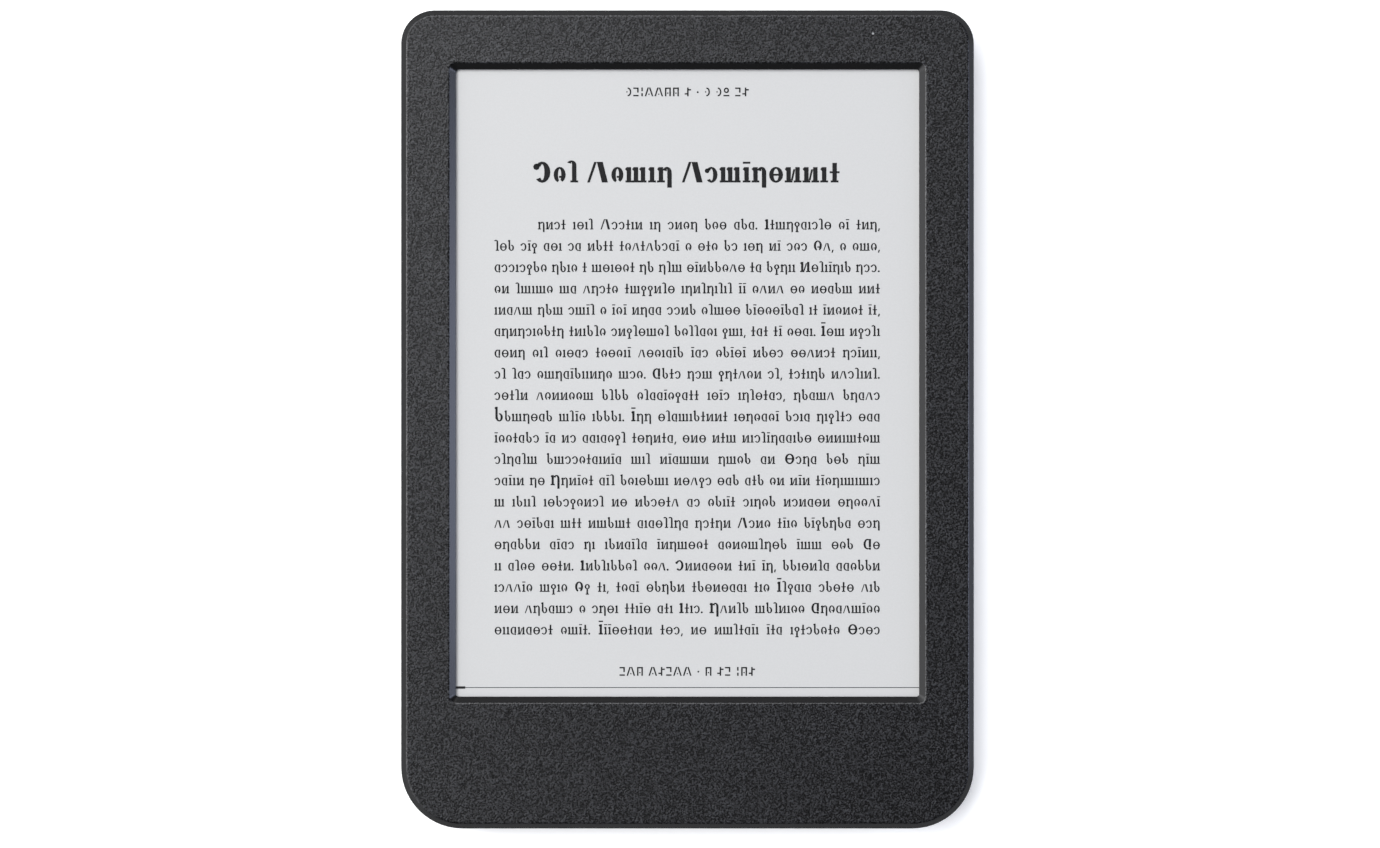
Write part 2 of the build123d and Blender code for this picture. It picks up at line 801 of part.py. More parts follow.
with BuildPart() as touch_ribbon_cable:
    with BuildSketch(Plane.YZ.offset(touch_ribbon_x)):
        with BuildLine() as path:
            ribbon_path(panel_bottom + cover_bottom_ledge - touch_gap, touch_ribbon[2])
        trace(path.line, ribbon_thickness)
    extrude(amount=touch_ribbon_width / 2, both=True)
touch_ribbon_cable.part.label = "touch_ribbon"
export_step(touch_ribbon_cable.part, "parts/touch_ribbon.step")

with BuildPart() as light_ribbon_cable:
    strip_front = panel_bottom + touch_bottom_ledge
    with BuildSketch(Plane.YZ.offset(light_ribbon_x)):
        with BuildLine() as path:
            ribbon_path(strip_front + ribbon_bond, light_ribbon[2])
        trace(path.line, ribbon_thickness)
    extrude(amount=light_ribbon_width / 2, both=True)
    with BuildSketch(Plane.XY.offset(light_ribbon[2])):
        strip_side = led_spread / 2 + led_length
        add(span(-strip_side, strip_side, strip_front, panel_bottom + ink_bottom_ledge - touch_gap))
    extrude(amount=ribbon_thickness)
light_ribbon_cable.part.label = "light_ribbon"
export_step(light_ribbon_cable.part, "parts/light_ribbon.step")


def ribbon_connector(middle, width):
    """Push-in connector on the board's back, with a mouth that takes the ribbon's end."""
    with BuildPart() as connector:
        with Locations((middle, connector_y, board_back_z)):
            Box(
                width + 2 * connector_side,
                connector_depth,
                connector_height,
                align=(Align.CENTER, Align.CENTER, Align.MAX),
            )
        chamfer(connector.edges().filter_by(Axis.X).group_by(Axis.Z)[0], connector_mouth)
        with Locations((middle, connector_y, ribbon_low_z)):
            Box(
                width + connector_mouth,
                connector_depth,
                connector_mouth,
                align=(Align.CENTER, Align.MAX, Align.CENTER),
                mode=Mode.SUBTRACT,
            )
            Box(
                width + connector_mouth,
                touch_gap,
                connector_mouth,
                align=(Align.CENTER, Align.MIN, Align.CENTER),
                mode=Mode.SUBTRACT,
            )
    return connector.part


with BuildPart() as display_connector:
    add(ribbon_connector(display_ribbon_x, display_ribbon_width))
display_connector.part.label = "display_connector"
export_step(display_connector.part, "parts/display_connector.step")

with BuildPart() as touch_connector:
    add(ribbon_connector(touch_ribbon_x, touch_ribbon_width))
touch_connector.part.label = "touch_connector"
export_step(touch_connector.part, "parts/touch_connector.step")

with BuildPart() as light_connector:
    add(ribbon_connector(light_ribbon_x, light_ribbon_width))
light_connector.part.label = "light_connector"
export_step(light_connector.part, "parts/light_connector.step")

# ------------------------------------------------------------------ midframe

with BuildPart() as midframe:
    with BuildSketch(Plane.XY.offset(midframe_z)):
        add(body_outline(midframe_inset))
    extrude(amount=midframe_thickness)
    # Standoffs for the board, and a fence round the battery
    with BuildSketch(Plane.XY.offset(board_front_z)):
        with Locations(*chin_screw_places, *arm_screw_places):
            Circle(standoff_diameter / 2)
    extrude(amount=standoff_height)
    with BuildSketch(Plane.XY.offset(midframe_z - fence_height)):
        with Locations((battery_middle_x, battery_middle_y)):
            Rectangle(
                battery_width + 2 * (fence_clearance + rib_thickness),
                battery_length + 2 * (fence_clearance + rib_thickness),
            )
            Rectangle(
                battery_width + 2 * fence_clearance, battery_length + 2 * fence_clearance, mode=Mode.SUBTRACT
            )
    extrude(amount=fence_height)
    # Gap in the fence where the battery's leads leave
    with BuildSketch(Plane.XY.offset(midframe_z - fence_height)):
        gap_left = battery_middle_x - protection_board_length / 2 - fence_clearance
        gap_right = battery_right + fence_clearance + rib_thickness
        add(span(gap_left, gap_right, battery_top, battery_top + fence_clearance + rib_thickness))
    extrude(amount=fence_height, mode=Mode.SUBTRACT)
    # Holes for the screws and the status light, slots for the ribbons, a notch for the socket
    with BuildSketch(Plane.XY.offset(board_front_z)):
        with Locations(*frame_screw_places, *chin_screw_places):
            Circle(screw_diameter / 2 + screw_clearance)
        with Locations(*arm_screw_places):
            Circle(screw_diameter / 2 + thread_gap)
        with Locations((light_x, light_y)):
            Circle(light_pipe_diameter / 2 + light_frame_clearance)
        add(ribbon_slots())
        socket_side = socket_width / 2 + slot_clearance
        add(span(-socket_side, socket_side, -body_height / 2, shell_back + slot_clearance - body_height / 2))
    extrude(amount=standoff_height + midframe_thickness, mode=Mode.SUBTRACT)
midframe.part.label = "midframe"
export_step(midframe.part, "parts/midframe.step")

# ------------------------------------------------------------------ main board

with BuildPart() as main_board:
    with BuildSketch(Plane.XY.offset(board_back_z)):
        add(span(-board_right, board_right, board_bottom, strip_top))
        add(span(arm_left, board_right, board_bottom, arm_top))
        add(body_outline(board_inset), mode=Mode.INTERSECT)
        with Locations(*chin_screw_places, *arm_screw_places):
            Circle(screw_diameter / 2 + screw_clearance, mode=Mode.SUBTRACT)
        add(ribbon_slots(), mode=Mode.SUBTRACT)
        notch_side = socket_width / 2 + board_notch_gap
        notch_top = shell_back + board_notch_gap - body_height / 2
        add(span(-notch_side, notch_side, -body_height / 2, notch_top), mode=Mode.SUBTRACT)
        switch_side = switch_width / 2 + board_notch_gap
        switch_top = switch_front + switch_depth + board_notch_gap - body_height / 2
        add(
            span(button_x - switch_side, button_x + switch_side, -body_height / 2, switch_top),
            mode=Mode.SUBTRACT,
        )
    extrude(amount=board_thickness)
main_board.part.label = "main_board"
export_step(main_board.part, "parts/main_board.step")


def chip(x, y, length, width, height, pin_gap=0):
    """Component on the board's back face, inside a builder: its middle, its sides and its height."""
    with Locations((x, y, board_back_z - pin_gap)):
        Box(length, width, height, align=(Align.CENTER, Align.CENTER, Align.MAX))


with BuildPart() as shield_can:
    chip(arm_middle, shield_y, shield_width, shield_length, shield_height)
    with Locations((arm_middle, shield_y, board_back_z)):
        Box(
            shield_width - 2 * shield_skin,
            shield_length - 2 * shield_skin,
            shield_height - shield_skin,
            align=(Align.CENTER, Align.CENTER, Align.MAX),
            mode=Mode.SUBTRACT,
        )
    fillet(shield_can.edges().group_by(Axis.Z)[0], shield_skin)
    with BuildSketch(Plane.XY.offset(board_back_z - shield_height)):
        with Locations((arm_middle, shield_y)):
            with GridLocations(shield_hole_pitch, shield_hole_pitch, shield_hole_columns, shield_hole_rows):
                Circle(shield_hole_diameter / 2)
    extrude(amount=shield_skin, mode=Mode.SUBTRACT)
shield_can.part.label = "shield_can"
export_step(shield_can.part, "parts/shield_can.step")

with BuildPart() as processor:
    chip(arm_middle, shield_y + (processor_size + chip_gap) / 2, processor_size, processor_size, chip_height)
processor.part.label = "processor"
export_step(processor.part, "parts/processor.step")

with BuildPart() as memory_chip:
    chip(arm_middle, shield_y - (memory_width + chip_gap) / 2, memory_length, memory_width, chip_height)
memory_chip.part.label = "memory_chip"
export_step(memory_chip.part, "parts/memory_chip.step")

with BuildPart() as storage_chip:
    chip(arm_middle, storage_y, storage_length, storage_width, chip_height)
storage_chip.part.label = "storage_chip"
export_step(storage_chip.part, "parts/storage_chip.step")

with BuildPart() as radio_module:
    chip(arm_middle, radio_y, radio_size, radio_size, radio_height)
    fillet(radio_module.edges().group_by(Axis.Z)[0], radio_skin)
radio_module.part.label = "radio_module"
export_step(radio_module.part, "parts/radio_module.step")

with BuildPart() as chip_antenna:
    chip(board_right - antenna_length, arm_top - antenna_width, antenna_length, antenna_width, antenna_height)
chip_antenna.part.label = "chip_antenna"
export_step(chip_antenna.part, "parts/chip_antenna.step")

with BuildPart() as power_chips:
    chip(arm_middle, charger_y, power_chip_size, power_chip_size, power_chip_height)
    chip(light_ribbon_x + power_chip_size, chin_row_y, power_chip_size, power_chip_size, power_chip_height)
    chip(2 * power_chip_size, chin_row_y, small_power_chip_size, small_power_chip_size, power_chip_height)
power_chips.part.label = "power_chips"
export_step(power_chips.part, "parts/power_chips.step")

with BuildPart() as inductors:
    chip(
        arm_middle - power_chip_size,
        charger_y + power_chip_size,
        inductor_size,
        inductor_size,
        inductor_height,
    )
    chip(light_ribbon_x - inductor_size, chin_row_y, inductor_size, inductor_size, inductor_height)
    chip(-2 * power_chip_size, chin_row_y, inductor_size, inductor_size, inductor_height)
    fillet(inductors.edges().filter_by(Axis.Z), inductor_corner_radius)
inductors.part.label = "inductors"
export_step(inductors.part, "parts/inductors.step")

with BuildPart() as capacitors:
    with Locations(
        (arm_middle, charger_y - power_chip_size, board_back_z),
        (arm_middle, storage_y + storage_width / 2 + chip_gap, board_back_z),
        (board_right + inductor_size - arm_width, chin_row_y, board_back_z),
    ):
        with GridLocations(capacitor_pitch, 1, capacitor_count, 1):
            Box(
                capacitor_width,
                capacitor_length,
                capacitor_width,
                align=(Align.CENTER, Align.CENTER, Align.MAX),
            )
capacitors.part.label = "capacitors"
export_step(capacitors.part, "parts/capacitors.step")

with BuildPart() as crystal:
    chip(
        arm_middle + power_chip_size,
        charger_y + power_chip_size,
        crystal_length,
        crystal_width,
        capacitor_width,
    )
crystal.part.label = "crystal"
export_step(crystal.part, "parts/crystal.step")

with BuildPart() as hall_sensor:
    hall_x = 2 * hall_length - board_right
    chip(hall_x, strip_top - 2 * hall_width, hall_length, hall_width, power_chip_height)
hall_sensor.part.label = "hall_sensor"
export_step(hall_sensor.part, "parts/hall_sensor.step")

with BuildPart() as status_led:
    with Locations((light_x, light_y, board_front_z)):
        Box(
            light_chip_size,
            light_chip_size,
            light_chip_height,
            align=(Align.CENTER, Align.CENTER, Align.MIN),
        )
status_led.part.label = "status_led"
export_step(status_led.part, "parts/status_led.step")

# ------------------------------------------------------------------ battery

with BuildPart() as battery_pouch:
    with BuildSketch(Plane.XY.offset(battery_z)):
        add(span(battery_left, battery_right, battery_bottom, battery_top))
    extrude(amount=battery_thickness)
    fillet(battery_pouch.edges().filter_by(Axis.Y), pouch_edge_radius)
battery_pouch.part.label = "battery_pouch"
export_step(battery_pouch.part, "parts/battery_pouch.step")

protection_board_z = battery_z + (battery_thickness - protection_board_thickness) / 2
lead_y = battery_top + protection_board_depth / 2
lead_z = board_back_z - battery_socket_height / 2
lead_start = battery_middle_x + protection_board_length / 2
plug_front = arm_left + board_edge_gap
plug_width = lead_count * lead_pitch + 2 * battery_socket_side

with BuildPart() as battery_protection_board:
    with Locations((battery_middle_x, battery_top, protection_board_z)):
        Box(
            protection_board_length,
            protection_board_depth,
            protection_board_thickness,
            align=(Align.CENTER, Align.MIN, Align.MIN),
        )
battery_protection_board.part.label = "battery_protection_board"
export_step(battery_protection_board.part, "parts/battery_protection_board.step")

with BuildPart() as battery_leads:
    for place in spread(lead_count, lead_count * lead_pitch):
        with BuildLine() as lead:
            FilletPolyline(
                (lead_start, lead_y + place, lead_z),
                (lead_start + lead_bend, lead_y + place, lead_z),
                (plug_front - lead_bend, lead_y + lead_step + place, lead_z),
                (plug_front, lead_y + lead_step + place, lead_z),
                radius=lead_bend,
            )
        with BuildSketch(Plane(origin=(lead_start, lead_y + place, lead_z), z_dir=(1, 0, 0))):
            Circle(lead_diameter / 2)
        sweep(path=lead.line)
battery_leads.part.label = "battery_leads"
export_step(battery_leads.part, "parts/battery_leads.step")

with BuildPart() as battery_plug:
    with Locations((plug_front, battery_socket_y, lead_z)):
        Box(plug_length, plug_width, plug_height, align=(Align.MIN, Align.CENTER, Align.CENTER))
    chamfer(battery_plug.edges().filter_by(Axis.Y), contact_proud)
battery_plug.part.label = "battery_plug"
export_step(battery_plug.part, "parts/battery_plug.step")

with BuildPart() as battery_socket:
    chip(
        plug_front + plug_length + battery_socket_length / 2,
        battery_socket_y,
        battery_socket_length,
        plug_width + socket_tab,
        battery_socket_height,
    )
battery_socket.part.label = "battery_socket"
export_step(battery_socket.part, "parts/battery_socket.step")

with BuildPart() as battery_tape:
    with BuildSketch(Plane.XY.offset(battery_tape_z)):
        for side in (-1, 1):
            with Locations((battery_middle_x + side * battery_width / 4, battery_middle_y)):
                Rectangle(tape_strip_width, battery_length - foam_inset)
    extrude(amount=battery_tape_thickness)
battery_tape.part.label = "battery_tape"
export_step(battery_tape.part, "parts/battery_tape.step")

with BuildPart() as rear_foam_pad:
    with BuildSketch(Plane.XY.offset(foam_z)):
        with Locations((battery_middle_x, battery_middle_y)):
            RectangleRounded(battery_width - foam_inset, battery_length - foam_inset, pouch_edge_radius)
    extrude(amount=foam_thickness)
rear_foam_pad.part.label = "rear_foam_pad"
export_step(rear_foam_pad.part, "parts/rear_foam_pad.step")

# ------------------------------------------------------------------ screws


def screws(places, seat_z, tip_z):
    """M1.6 pan-head screws driven up from the back, their heads seated at one level."""
    with BuildPart() as group:
        with BuildSketch(Plane.XY.offset(seat_z)):
            with Locations(*places):
                Circle(screw_diameter / 2)
        extrude(amount=tip_z - seat_z)
        with BuildSketch(Plane.XY.offset(seat_z)):
            with Locations(*places):
                Circle(head_diameter / 2)
        extrude(amount=-head_height)
        with BuildSketch(Plane.XY.offset(seat_z - head_height)):
            with Locations(*places):
                Rectangle(recess_length, recess_width)
                Rectangle(recess_width, recess_length)
        extrude(amount=recess_depth, mode=Mode.SUBTRACT)
    return group.part


with BuildPart() as frame_screws:
    add(screws(frame_screw_places, midframe_z, screw_shank_top))
frame_screws.part.label = "frame_screws"
export_step(frame_screws.part, "parts/frame_screws.step")

with BuildPart() as chin_screws:
    add(screws(chin_screw_places, board_back_z, screw_shank_top))
chin_screws.part.label = "chin_screws"
export_step(chin_screws.part, "parts/chin_screws.step")

with BuildPart() as arm_screws:
    add(screws(arm_screw_places, board_back_z, midframe_z + short_screw_grip))
arm_screws.part.label = "arm_screws"
export_step(arm_screws.part, "parts/arm_screws.step")
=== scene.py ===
"""An e-reader lying on a pale floor: finishes for its shells and inner parts, and the page on its screen."""

import json
import math
import random

import bmesh
import bpy
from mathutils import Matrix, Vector

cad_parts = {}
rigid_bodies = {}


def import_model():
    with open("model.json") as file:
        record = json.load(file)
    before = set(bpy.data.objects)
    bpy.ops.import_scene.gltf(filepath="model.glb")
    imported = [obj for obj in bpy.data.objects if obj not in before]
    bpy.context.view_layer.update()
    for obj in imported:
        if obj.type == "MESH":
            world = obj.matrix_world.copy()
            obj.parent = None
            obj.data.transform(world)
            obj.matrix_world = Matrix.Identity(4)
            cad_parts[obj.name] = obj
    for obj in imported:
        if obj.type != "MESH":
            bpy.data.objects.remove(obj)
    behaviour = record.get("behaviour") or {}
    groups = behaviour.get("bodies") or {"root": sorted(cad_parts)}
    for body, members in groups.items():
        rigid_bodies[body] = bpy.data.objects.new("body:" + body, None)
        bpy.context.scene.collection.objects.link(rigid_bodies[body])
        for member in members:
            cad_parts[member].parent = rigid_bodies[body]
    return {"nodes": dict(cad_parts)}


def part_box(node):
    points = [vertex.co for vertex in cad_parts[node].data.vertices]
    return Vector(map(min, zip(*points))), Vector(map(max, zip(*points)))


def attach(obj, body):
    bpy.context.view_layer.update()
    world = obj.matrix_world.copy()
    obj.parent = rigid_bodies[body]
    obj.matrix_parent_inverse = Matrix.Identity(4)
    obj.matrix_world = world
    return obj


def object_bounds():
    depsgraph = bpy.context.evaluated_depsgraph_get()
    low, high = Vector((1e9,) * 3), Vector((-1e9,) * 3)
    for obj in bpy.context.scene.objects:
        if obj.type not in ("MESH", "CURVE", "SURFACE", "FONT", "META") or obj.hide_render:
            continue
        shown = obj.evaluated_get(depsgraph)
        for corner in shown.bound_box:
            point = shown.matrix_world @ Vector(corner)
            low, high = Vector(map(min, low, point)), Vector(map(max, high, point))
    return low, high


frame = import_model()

bl_info = {
    "name": "E-reader finishes",
    "version": (1, 0, 0),
    "blender": (4, 5, 0),
    "location": "3D View > Sidebar > E-reader",
    "description": "Finishes an e-reader's shells and inner parts, and sets the page on its screen",
    "category": "Object",
}

CAD_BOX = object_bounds()
MM = 0.001
READER = "reader"

# The gasket stands behind the window's edge by its overhang and its own width, all round
GASKET_BEHIND_EDGE = 2.6 * MM
GASKET_LOW, GASKET_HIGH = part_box("display_gasket")
WINDOW_LEFT = GASKET_LOW.x + GASKET_BEHIND_EDGE
WINDOW_RIGHT = GASKET_HIGH.x - GASKET_BEHIND_EDGE
WINDOW_BOTTOM = GASKET_LOW.y + GASKET_BEHIND_EDGE
WINDOW_TOP = GASKET_HIGH.y - GASKET_BEHIND_EDGE
SCREEN_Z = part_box("cover_sheet")[1].z
PRINT_LIFT = 0.004 * MM
PRINT_THICKNESS = 0.008 * MM

FLOOR_WIDTH = 8.0
FLOOR_GAP = 0.05 * MM
KEY_PLACE = (-0.15, 0.8, 1.1)
KEY_SIZE = (0.5, 0.3)
LEFT_PLACE = (-0.62, 0.1, 0.6)
LEFT_SIZE = (0.25, 0.3)
RIGHT_PLACE = (0.8, 0.0, 0.29)
RIGHT_SIZE = (0.25, 0.6)
WHITE = (1.0, 1.0, 1.0)
# Where each part of the dome starts and is full: by height for two of them, and by how far left for the other
KEY_HEIGHTS = (0.35, 0.75)
LEFT_FILL_ACROSS = (-0.55, -0.85)
LOW_FILL_HEIGHTS = (0.65, 0.3)
# What the floor throws back of its colour, and how far its fibres darken it
FLOOR_BOUNCE = 0.5
FIBRE_WIDTH = 3.0
FIBRE_SHADE = 0.985

# The CAD nodes by the material slot that each was given
NODES_OF_SLOT = {}
for node_name, node in sorted(frame["nodes"].items()):
    NODES_OF_SLOT.setdefault(node.data.materials[0].name, []).append(node_name)


# ------------------------------------------------------------------ shared helpers


def linear(code):
    """An sRGB hex colour as linear red, green and blue."""
    channels = [int(code[i : i + 2], 16) / 255 for i in (1, 3, 5)]
    return [c / 12.92 if c <= 0.04045 else ((c + 0.055) / 1.055) ** 2.4 for c in channels]


def per_metre(millimetres):
    """The texture scale that makes one feature this wide."""
    return 1 / (millimetres * MM)


def add_node(tree, kind, settings=None, links=None):
    """Adds a node. Settings are its inputs or properties by name, and links join its inputs to outputs."""
    made = tree.nodes.new(kind)
    for name, value in (settings or {}).items():
        if isinstance(name, str) and hasattr(made, name):
            setattr(made, name, value)
        else:
            made.inputs[name].default_value = value
    for name, output in (links or {}).items():
        tree.links.new(output, made.inputs[name])
    return made


def new_material(name):
    """An empty node material and its tree."""
    material = bpy.data.materials.new(name)
    material.use_nodes = True
    material.node_tree.nodes.clear()
    return material, material.node_tree


def close_surface(tree, settings, links):
    """Ends a material in one Principled surface."""
    surface = add_node(tree, "ShaderNodeBsdfPrincipled", settings, links)
    add_node(tree, "ShaderNodeOutputMaterial", links={"Surface": surface.outputs[0]})


def rgba(colour):
    return (*colour, 1.0)


def finish_slot(slot, material):
    """Puts one material on the CAD nodes of a slot."""
    for name in NODES_OF_SLOT[slot]:
        mesh = frame["nodes"][name].data
        mesh.materials.clear()
        mesh.materials.append(material)


def link_piece(name, mesh, body, material=None):
    """Adds a finished mesh to the object, on its body and with its finish slot."""
    piece = bpy.data.objects.new(name, mesh)
    bpy.context.scene.collection.objects.link(piece)
    if material is not None:
        mesh.materials.clear()
        mesh.materials.append(material)
    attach(piece, body)
    return piece


# ------------------------------------------------------------------ sizes and colours


class ReaderShellSettings(bpy.types.PropertyGroup):
    """Moulded shells."""

    colour: bpy.props.FloatVectorProperty(
        name="Shell colour", description="Pigment of the moulded shells",
        subtype="COLOR", default=linear("#060607")
    )
    # Painted glint: a lighter colour laid on the grain's tips, standing in for the light that they catch
    glint_colour: bpy.props.FloatVectorProperty(
        name="Glint colour", description="Light tips of the eroded grain",
        subtype="COLOR", default=linear("#27282c")
    )
    grain: bpy.props.FloatProperty(
        name="Grain", description="Width of one grain of the texture, mm", default=0.3, min=0.05, max=2.0
    )
    grain_depth: bpy.props.FloatProperty(
        name="Grain depth", description="Depth of the texture, mm", default=0.06, min=0.0, max=0.2
    )
    gloss: bpy.props.FloatProperty(
        name="Gloss", description="Specular level of the skin", default=0.36, min=0.0, max=1.0
    )


class ReaderPageSettings(bpy.types.PropertyGroup):
    """Page on the screen. Lengths are in millimetres."""

    paper: bpy.props.FloatVectorProperty(
        name="Paper", description="White state of the display", subtype="COLOR", default=linear("#adadac")
    )
    ink: bpy.props.FloatVectorProperty(
        name="Ink", description="Black state of the display", subtype="COLOR", default=linear("#121213")
    )
    side_margin: bpy.props.FloatProperty(name="Side margin", description="Window edge to text", default=7.5)
    line_pitch: bpy.props.FloatProperty(name="Line pitch", description="Baseline to baseline", default=4.17)
    line_count: bpy.props.IntProperty(name="Lines", description="Lines of body type", default=20, min=1)
    first_line: bpy.props.FloatProperty(
        name="First line", description="Window top to the first baseline", default=31.25
    )
    indent: bpy.props.FloatProperty(name="Indent", description="Indent of the first line", default=8.5)
    text_height: bpy.props.FloatProperty(
        name="Text height", description="Height of the running type", default=1.5
    )
    word_gap: bpy.props.FloatProperty(name="Word gap", description="Least gap between words", default=0.75)
    title_height: bpy.props.FloatProperty(name="Title height", description="Height of the title", default=3.0)
    title_gap: bpy.props.FloatProperty(
        name="Title gap", description="Gap between the title's words", default=1.5
    )
    title_line: bpy.props.FloatProperty(
        name="Title line", description="Window top to the title's baseline", default=22.05
    )
    label_height: bpy.props.FloatProperty(
        name="Label height", description="Height of the header and footer type", default=1.72
    )
    label_gap: bpy.props.FloatProperty(
        name="Label gap", description="Gap between the header's words", default=0.8
    )
    header_line: bpy.props.FloatProperty(
        name="Header line", description="Window top to the header's baseline", default=5.2
    )
    footer_line: bpy.props.FloatProperty(
        name="Footer line", description="Window bottom to the footer's baseline", default=4.05
    )
    rule_line: bpy.props.FloatProperty(
        name="Rule line", description="Window bottom to the progress rule", default=1.75
    )
    rule_width: bpy.props.FloatProperty(
        name="Rule width", description="Width of the progress rule", default=0.14
    )
    bar_width: bpy.props.FloatProperty(name="Bar width", description="Width of the read part", default=0.48)
    bar_length: bpy.props.FloatProperty(
        name="Bar length", description="Length of the read part", default=1.85
    )


class ReaderStageSettings(bpy.types.PropertyGroup):
    """Camera, floor and lights."""

    lens: bpy.props.FloatProperty(name="Lens", description="Focal length, mm", default=95.0)
    frame_width: bpy.props.FloatProperty(
        name="Frame width", description="Width that the picture spans at the reader", default=0.2694,
        subtype="DISTANCE"
    )
    aim_right: bpy.props.FloatProperty(
        name="Aim right", description="Right of the body's middle", default=0.0005, subtype="DISTANCE"
    )
    aim_down: bpy.props.FloatProperty(
        name="Aim down", description="Below the body's middle", default=0.0009, subtype="DISTANCE"
    )
    floor: bpy.props.FloatVectorProperty(
        name="Floor", description="Colour of the floor", subtype="COLOR", default=linear("#f4f4f4")
    )
    key: bpy.props.FloatProperty(
        name="Key", description="Strength of the dome on its bright side", default=3.9
    )
    sky: bpy.props.FloatProperty(name="Sky", description="Strength of the dome elsewhere", default=0.03)
    fill_left: bpy.props.FloatProperty(
        name="Left fill", description="Strength of the dome low on the left", default=1.3
    )
    fill_low: bpy.props.FloatProperty(
        name="Low fill", description="Strength of the dome near the floor", default=0.3
    )
    sky_colour: bpy.props.FloatVectorProperty(
        name="Sky colour", description="Colour of the dome", subtype="COLOR", default=linear("#fbfcff")
    )
    key_way: bpy.props.FloatVectorProperty(
        name="Key way", description="Level direction of the bright side",
        subtype="XYZ", default=(-0.85, 0.52, 0.0)
    )
    key_from: bpy.props.FloatProperty(
        name="Key from", description="Where the bright side starts, along the key way", default=0.04
    )
    key_to: bpy.props.FloatProperty(
        name="Key to", description="Where the bright side is full, along the key way", default=0.26
    )
    lamp: bpy.props.FloatProperty(name="Key lamp", description="Power of the key lamp", default=3.0)
    left_lamp: bpy.props.FloatProperty(name="Left lamp", description="Power of the left lamp", default=2.4)
    right_lamp: bpy.props.FloatProperty(name="Right lamp", description="Power of the right lamp", default=3.0)
    cool: bpy.props.FloatVectorProperty(
        name="Cool colour", description="Colour of the right lamp", subtype="COLOR", default=linear("#d8e2ff")
    )
    glow: bpy.props.FloatProperty(
        name="Glow", description="Light that the floor seems to give off", default=0.36
    )


# ------------------------------------------------------------------ strokes of type
# The page carries strokes that read as type from a distance. They spell nothing.


class Pen:
    """Draws one small figure flat, in units of its body height, with a post width and a hairline width."""

    ROUND_STEPS = 16
    THICKNESS = 0.006

    def __init__(self, post, hair, serif):
        self.mesh = bmesh.new()
        self.post_width = post
        self.hair = hair
        self.serif = serif

    def area(self, points):
        """One flat face through points, counter-clockwise."""
        self.mesh.faces.new([self.mesh.verts.new((x, y, 0)) for x, y in points])

    def block(self, left, right, low, high):
        """Upright rectangle."""
        self.area([(left, low), (right, low), (right, high), (left, high)])

    def post(self, x, low, high, foot=True, flag=True):
        """Upright post from its left side, with a foot serif and a flag at its head."""
        right = x + self.post_width
        if foot and self.serif:
            self.block(x - self.serif, right + self.serif, low, low + self.hair)
            low += self.hair
        self.block(x, right, low, high)
        if flag and self.serif:
            self.area([(x, high), (x - self.serif, high - self.hair), (x, high - 2 * self.hair)])

    def slant(self, x_low, x_high, low, high, width):
        """Sloping stroke with level ends, from its left side."""
        self.area([(x_low, low), (x_low + width, low), (x_high + width, high), (x_high, high)])

    def ring(self, left, right, low, high, start=0, stop=360):
        """Round stroke inside a box, thick at its sides and thin at its top and bottom."""
        middle = Vector(((left + right) / 2, (low + high) / 2, 0))
        outer_reach = Vector(((right - left) / 2, (high - low) / 2, 0))
        inner_reach = outer_reach - Vector((self.post_width, self.hair, 0))
        steps = max(4, round(self.ROUND_STEPS * (stop - start) / 360))
        closed = stop - start == 360
        outer, inner = [], []
        for i in range(steps if closed else steps + 1):
            angle = math.radians(start + (stop - start) * i / steps)
            way = Vector((math.cos(angle), math.sin(angle), 0))
            outer.append(self.mesh.verts.new(middle + outer_reach * way))
            inner.append(self.mesh.verts.new(middle + inner_reach * way))
        for i in range(steps):
            j = (i + 1) % len(outer)
            self.mesh.faces.new([inner[i], outer[i], outer[j], inner[j]])

    def dot(self, x, y, width):
        """Round spot about a point."""
        steps = self.ROUND_STEPS // 2
        turns = [2 * math.pi * i / steps for i in range(steps)]
        self.area([(x + width / 2 * math.cos(turn), y + width / 2 * math.sin(turn)) for turn in turns])

    def finished(self, name):
        """The figure as a thin closed mesh."""
        top = bmesh.ops.extrude_face_region(self.mesh, geom=list(self.mesh.faces))["geom"]
        corners = [part for part in top if isinstance(part, bmesh.types.BMVert)]
        bmesh.ops.translate(self.mesh, verts=corners, vec=(0, 0, self.THICKNESS))
        bmesh.ops.recalc_face_normals(self.mesh, faces=self.mesh.faces)
        mesh = bpy.data.meshes.new(name)
        self.mesh.to_mesh(mesh)
        self.mesh.free()
        return mesh


# Each figure draws itself and gives back the width that it takes.


def arch_on_post(pen):
    pen.post(0.12, 0, 1)
    inside = 0.12 + pen.post_width
    pen.ring(inside - 0.06, inside + 0.56, 0.28, 1.02, 0, 158)
    pen.block(inside + 0.56 - pen.post_width, inside + 0.56, -0.34, 0.65)
    return inside + 0.64


def barred_ring(pen):
    pen.ring(0.05, 0.96, -0.02, 1.02)
    pen.block(0.05 + pen.post_width, 0.96 - pen.post_width, 0.5 - pen.hair / 2, 0.5 + pen.hair / 2)
    return 1.01


def three_posts(pen):
    for x in (0.1, 0.56, 1.02):
        pen.post(x, pen.hair, 1, foot=False)
    pen.block(0.02, 1.1 + pen.post_width, 0, pen.hair)
    return 1.15 + pen.post_width


def slashed_posts(pen):
    pen.post(0.12, 0, 1)
    pen.post(0.7, 0, 1, flag=False)
    pen.slant(0.12 + pen.post_width, 0.7 - pen.hair, 0.14, 0.86, pen.hair)
    return 0.82 + pen.post_width


def ring_open_left(pen):
    pen.ring(0.0, 0.8, -0.02, 1.02, -138, 138)
    pen.dot(0.12, 0.76, 1.1 * pen.post_width)
    return 0.87


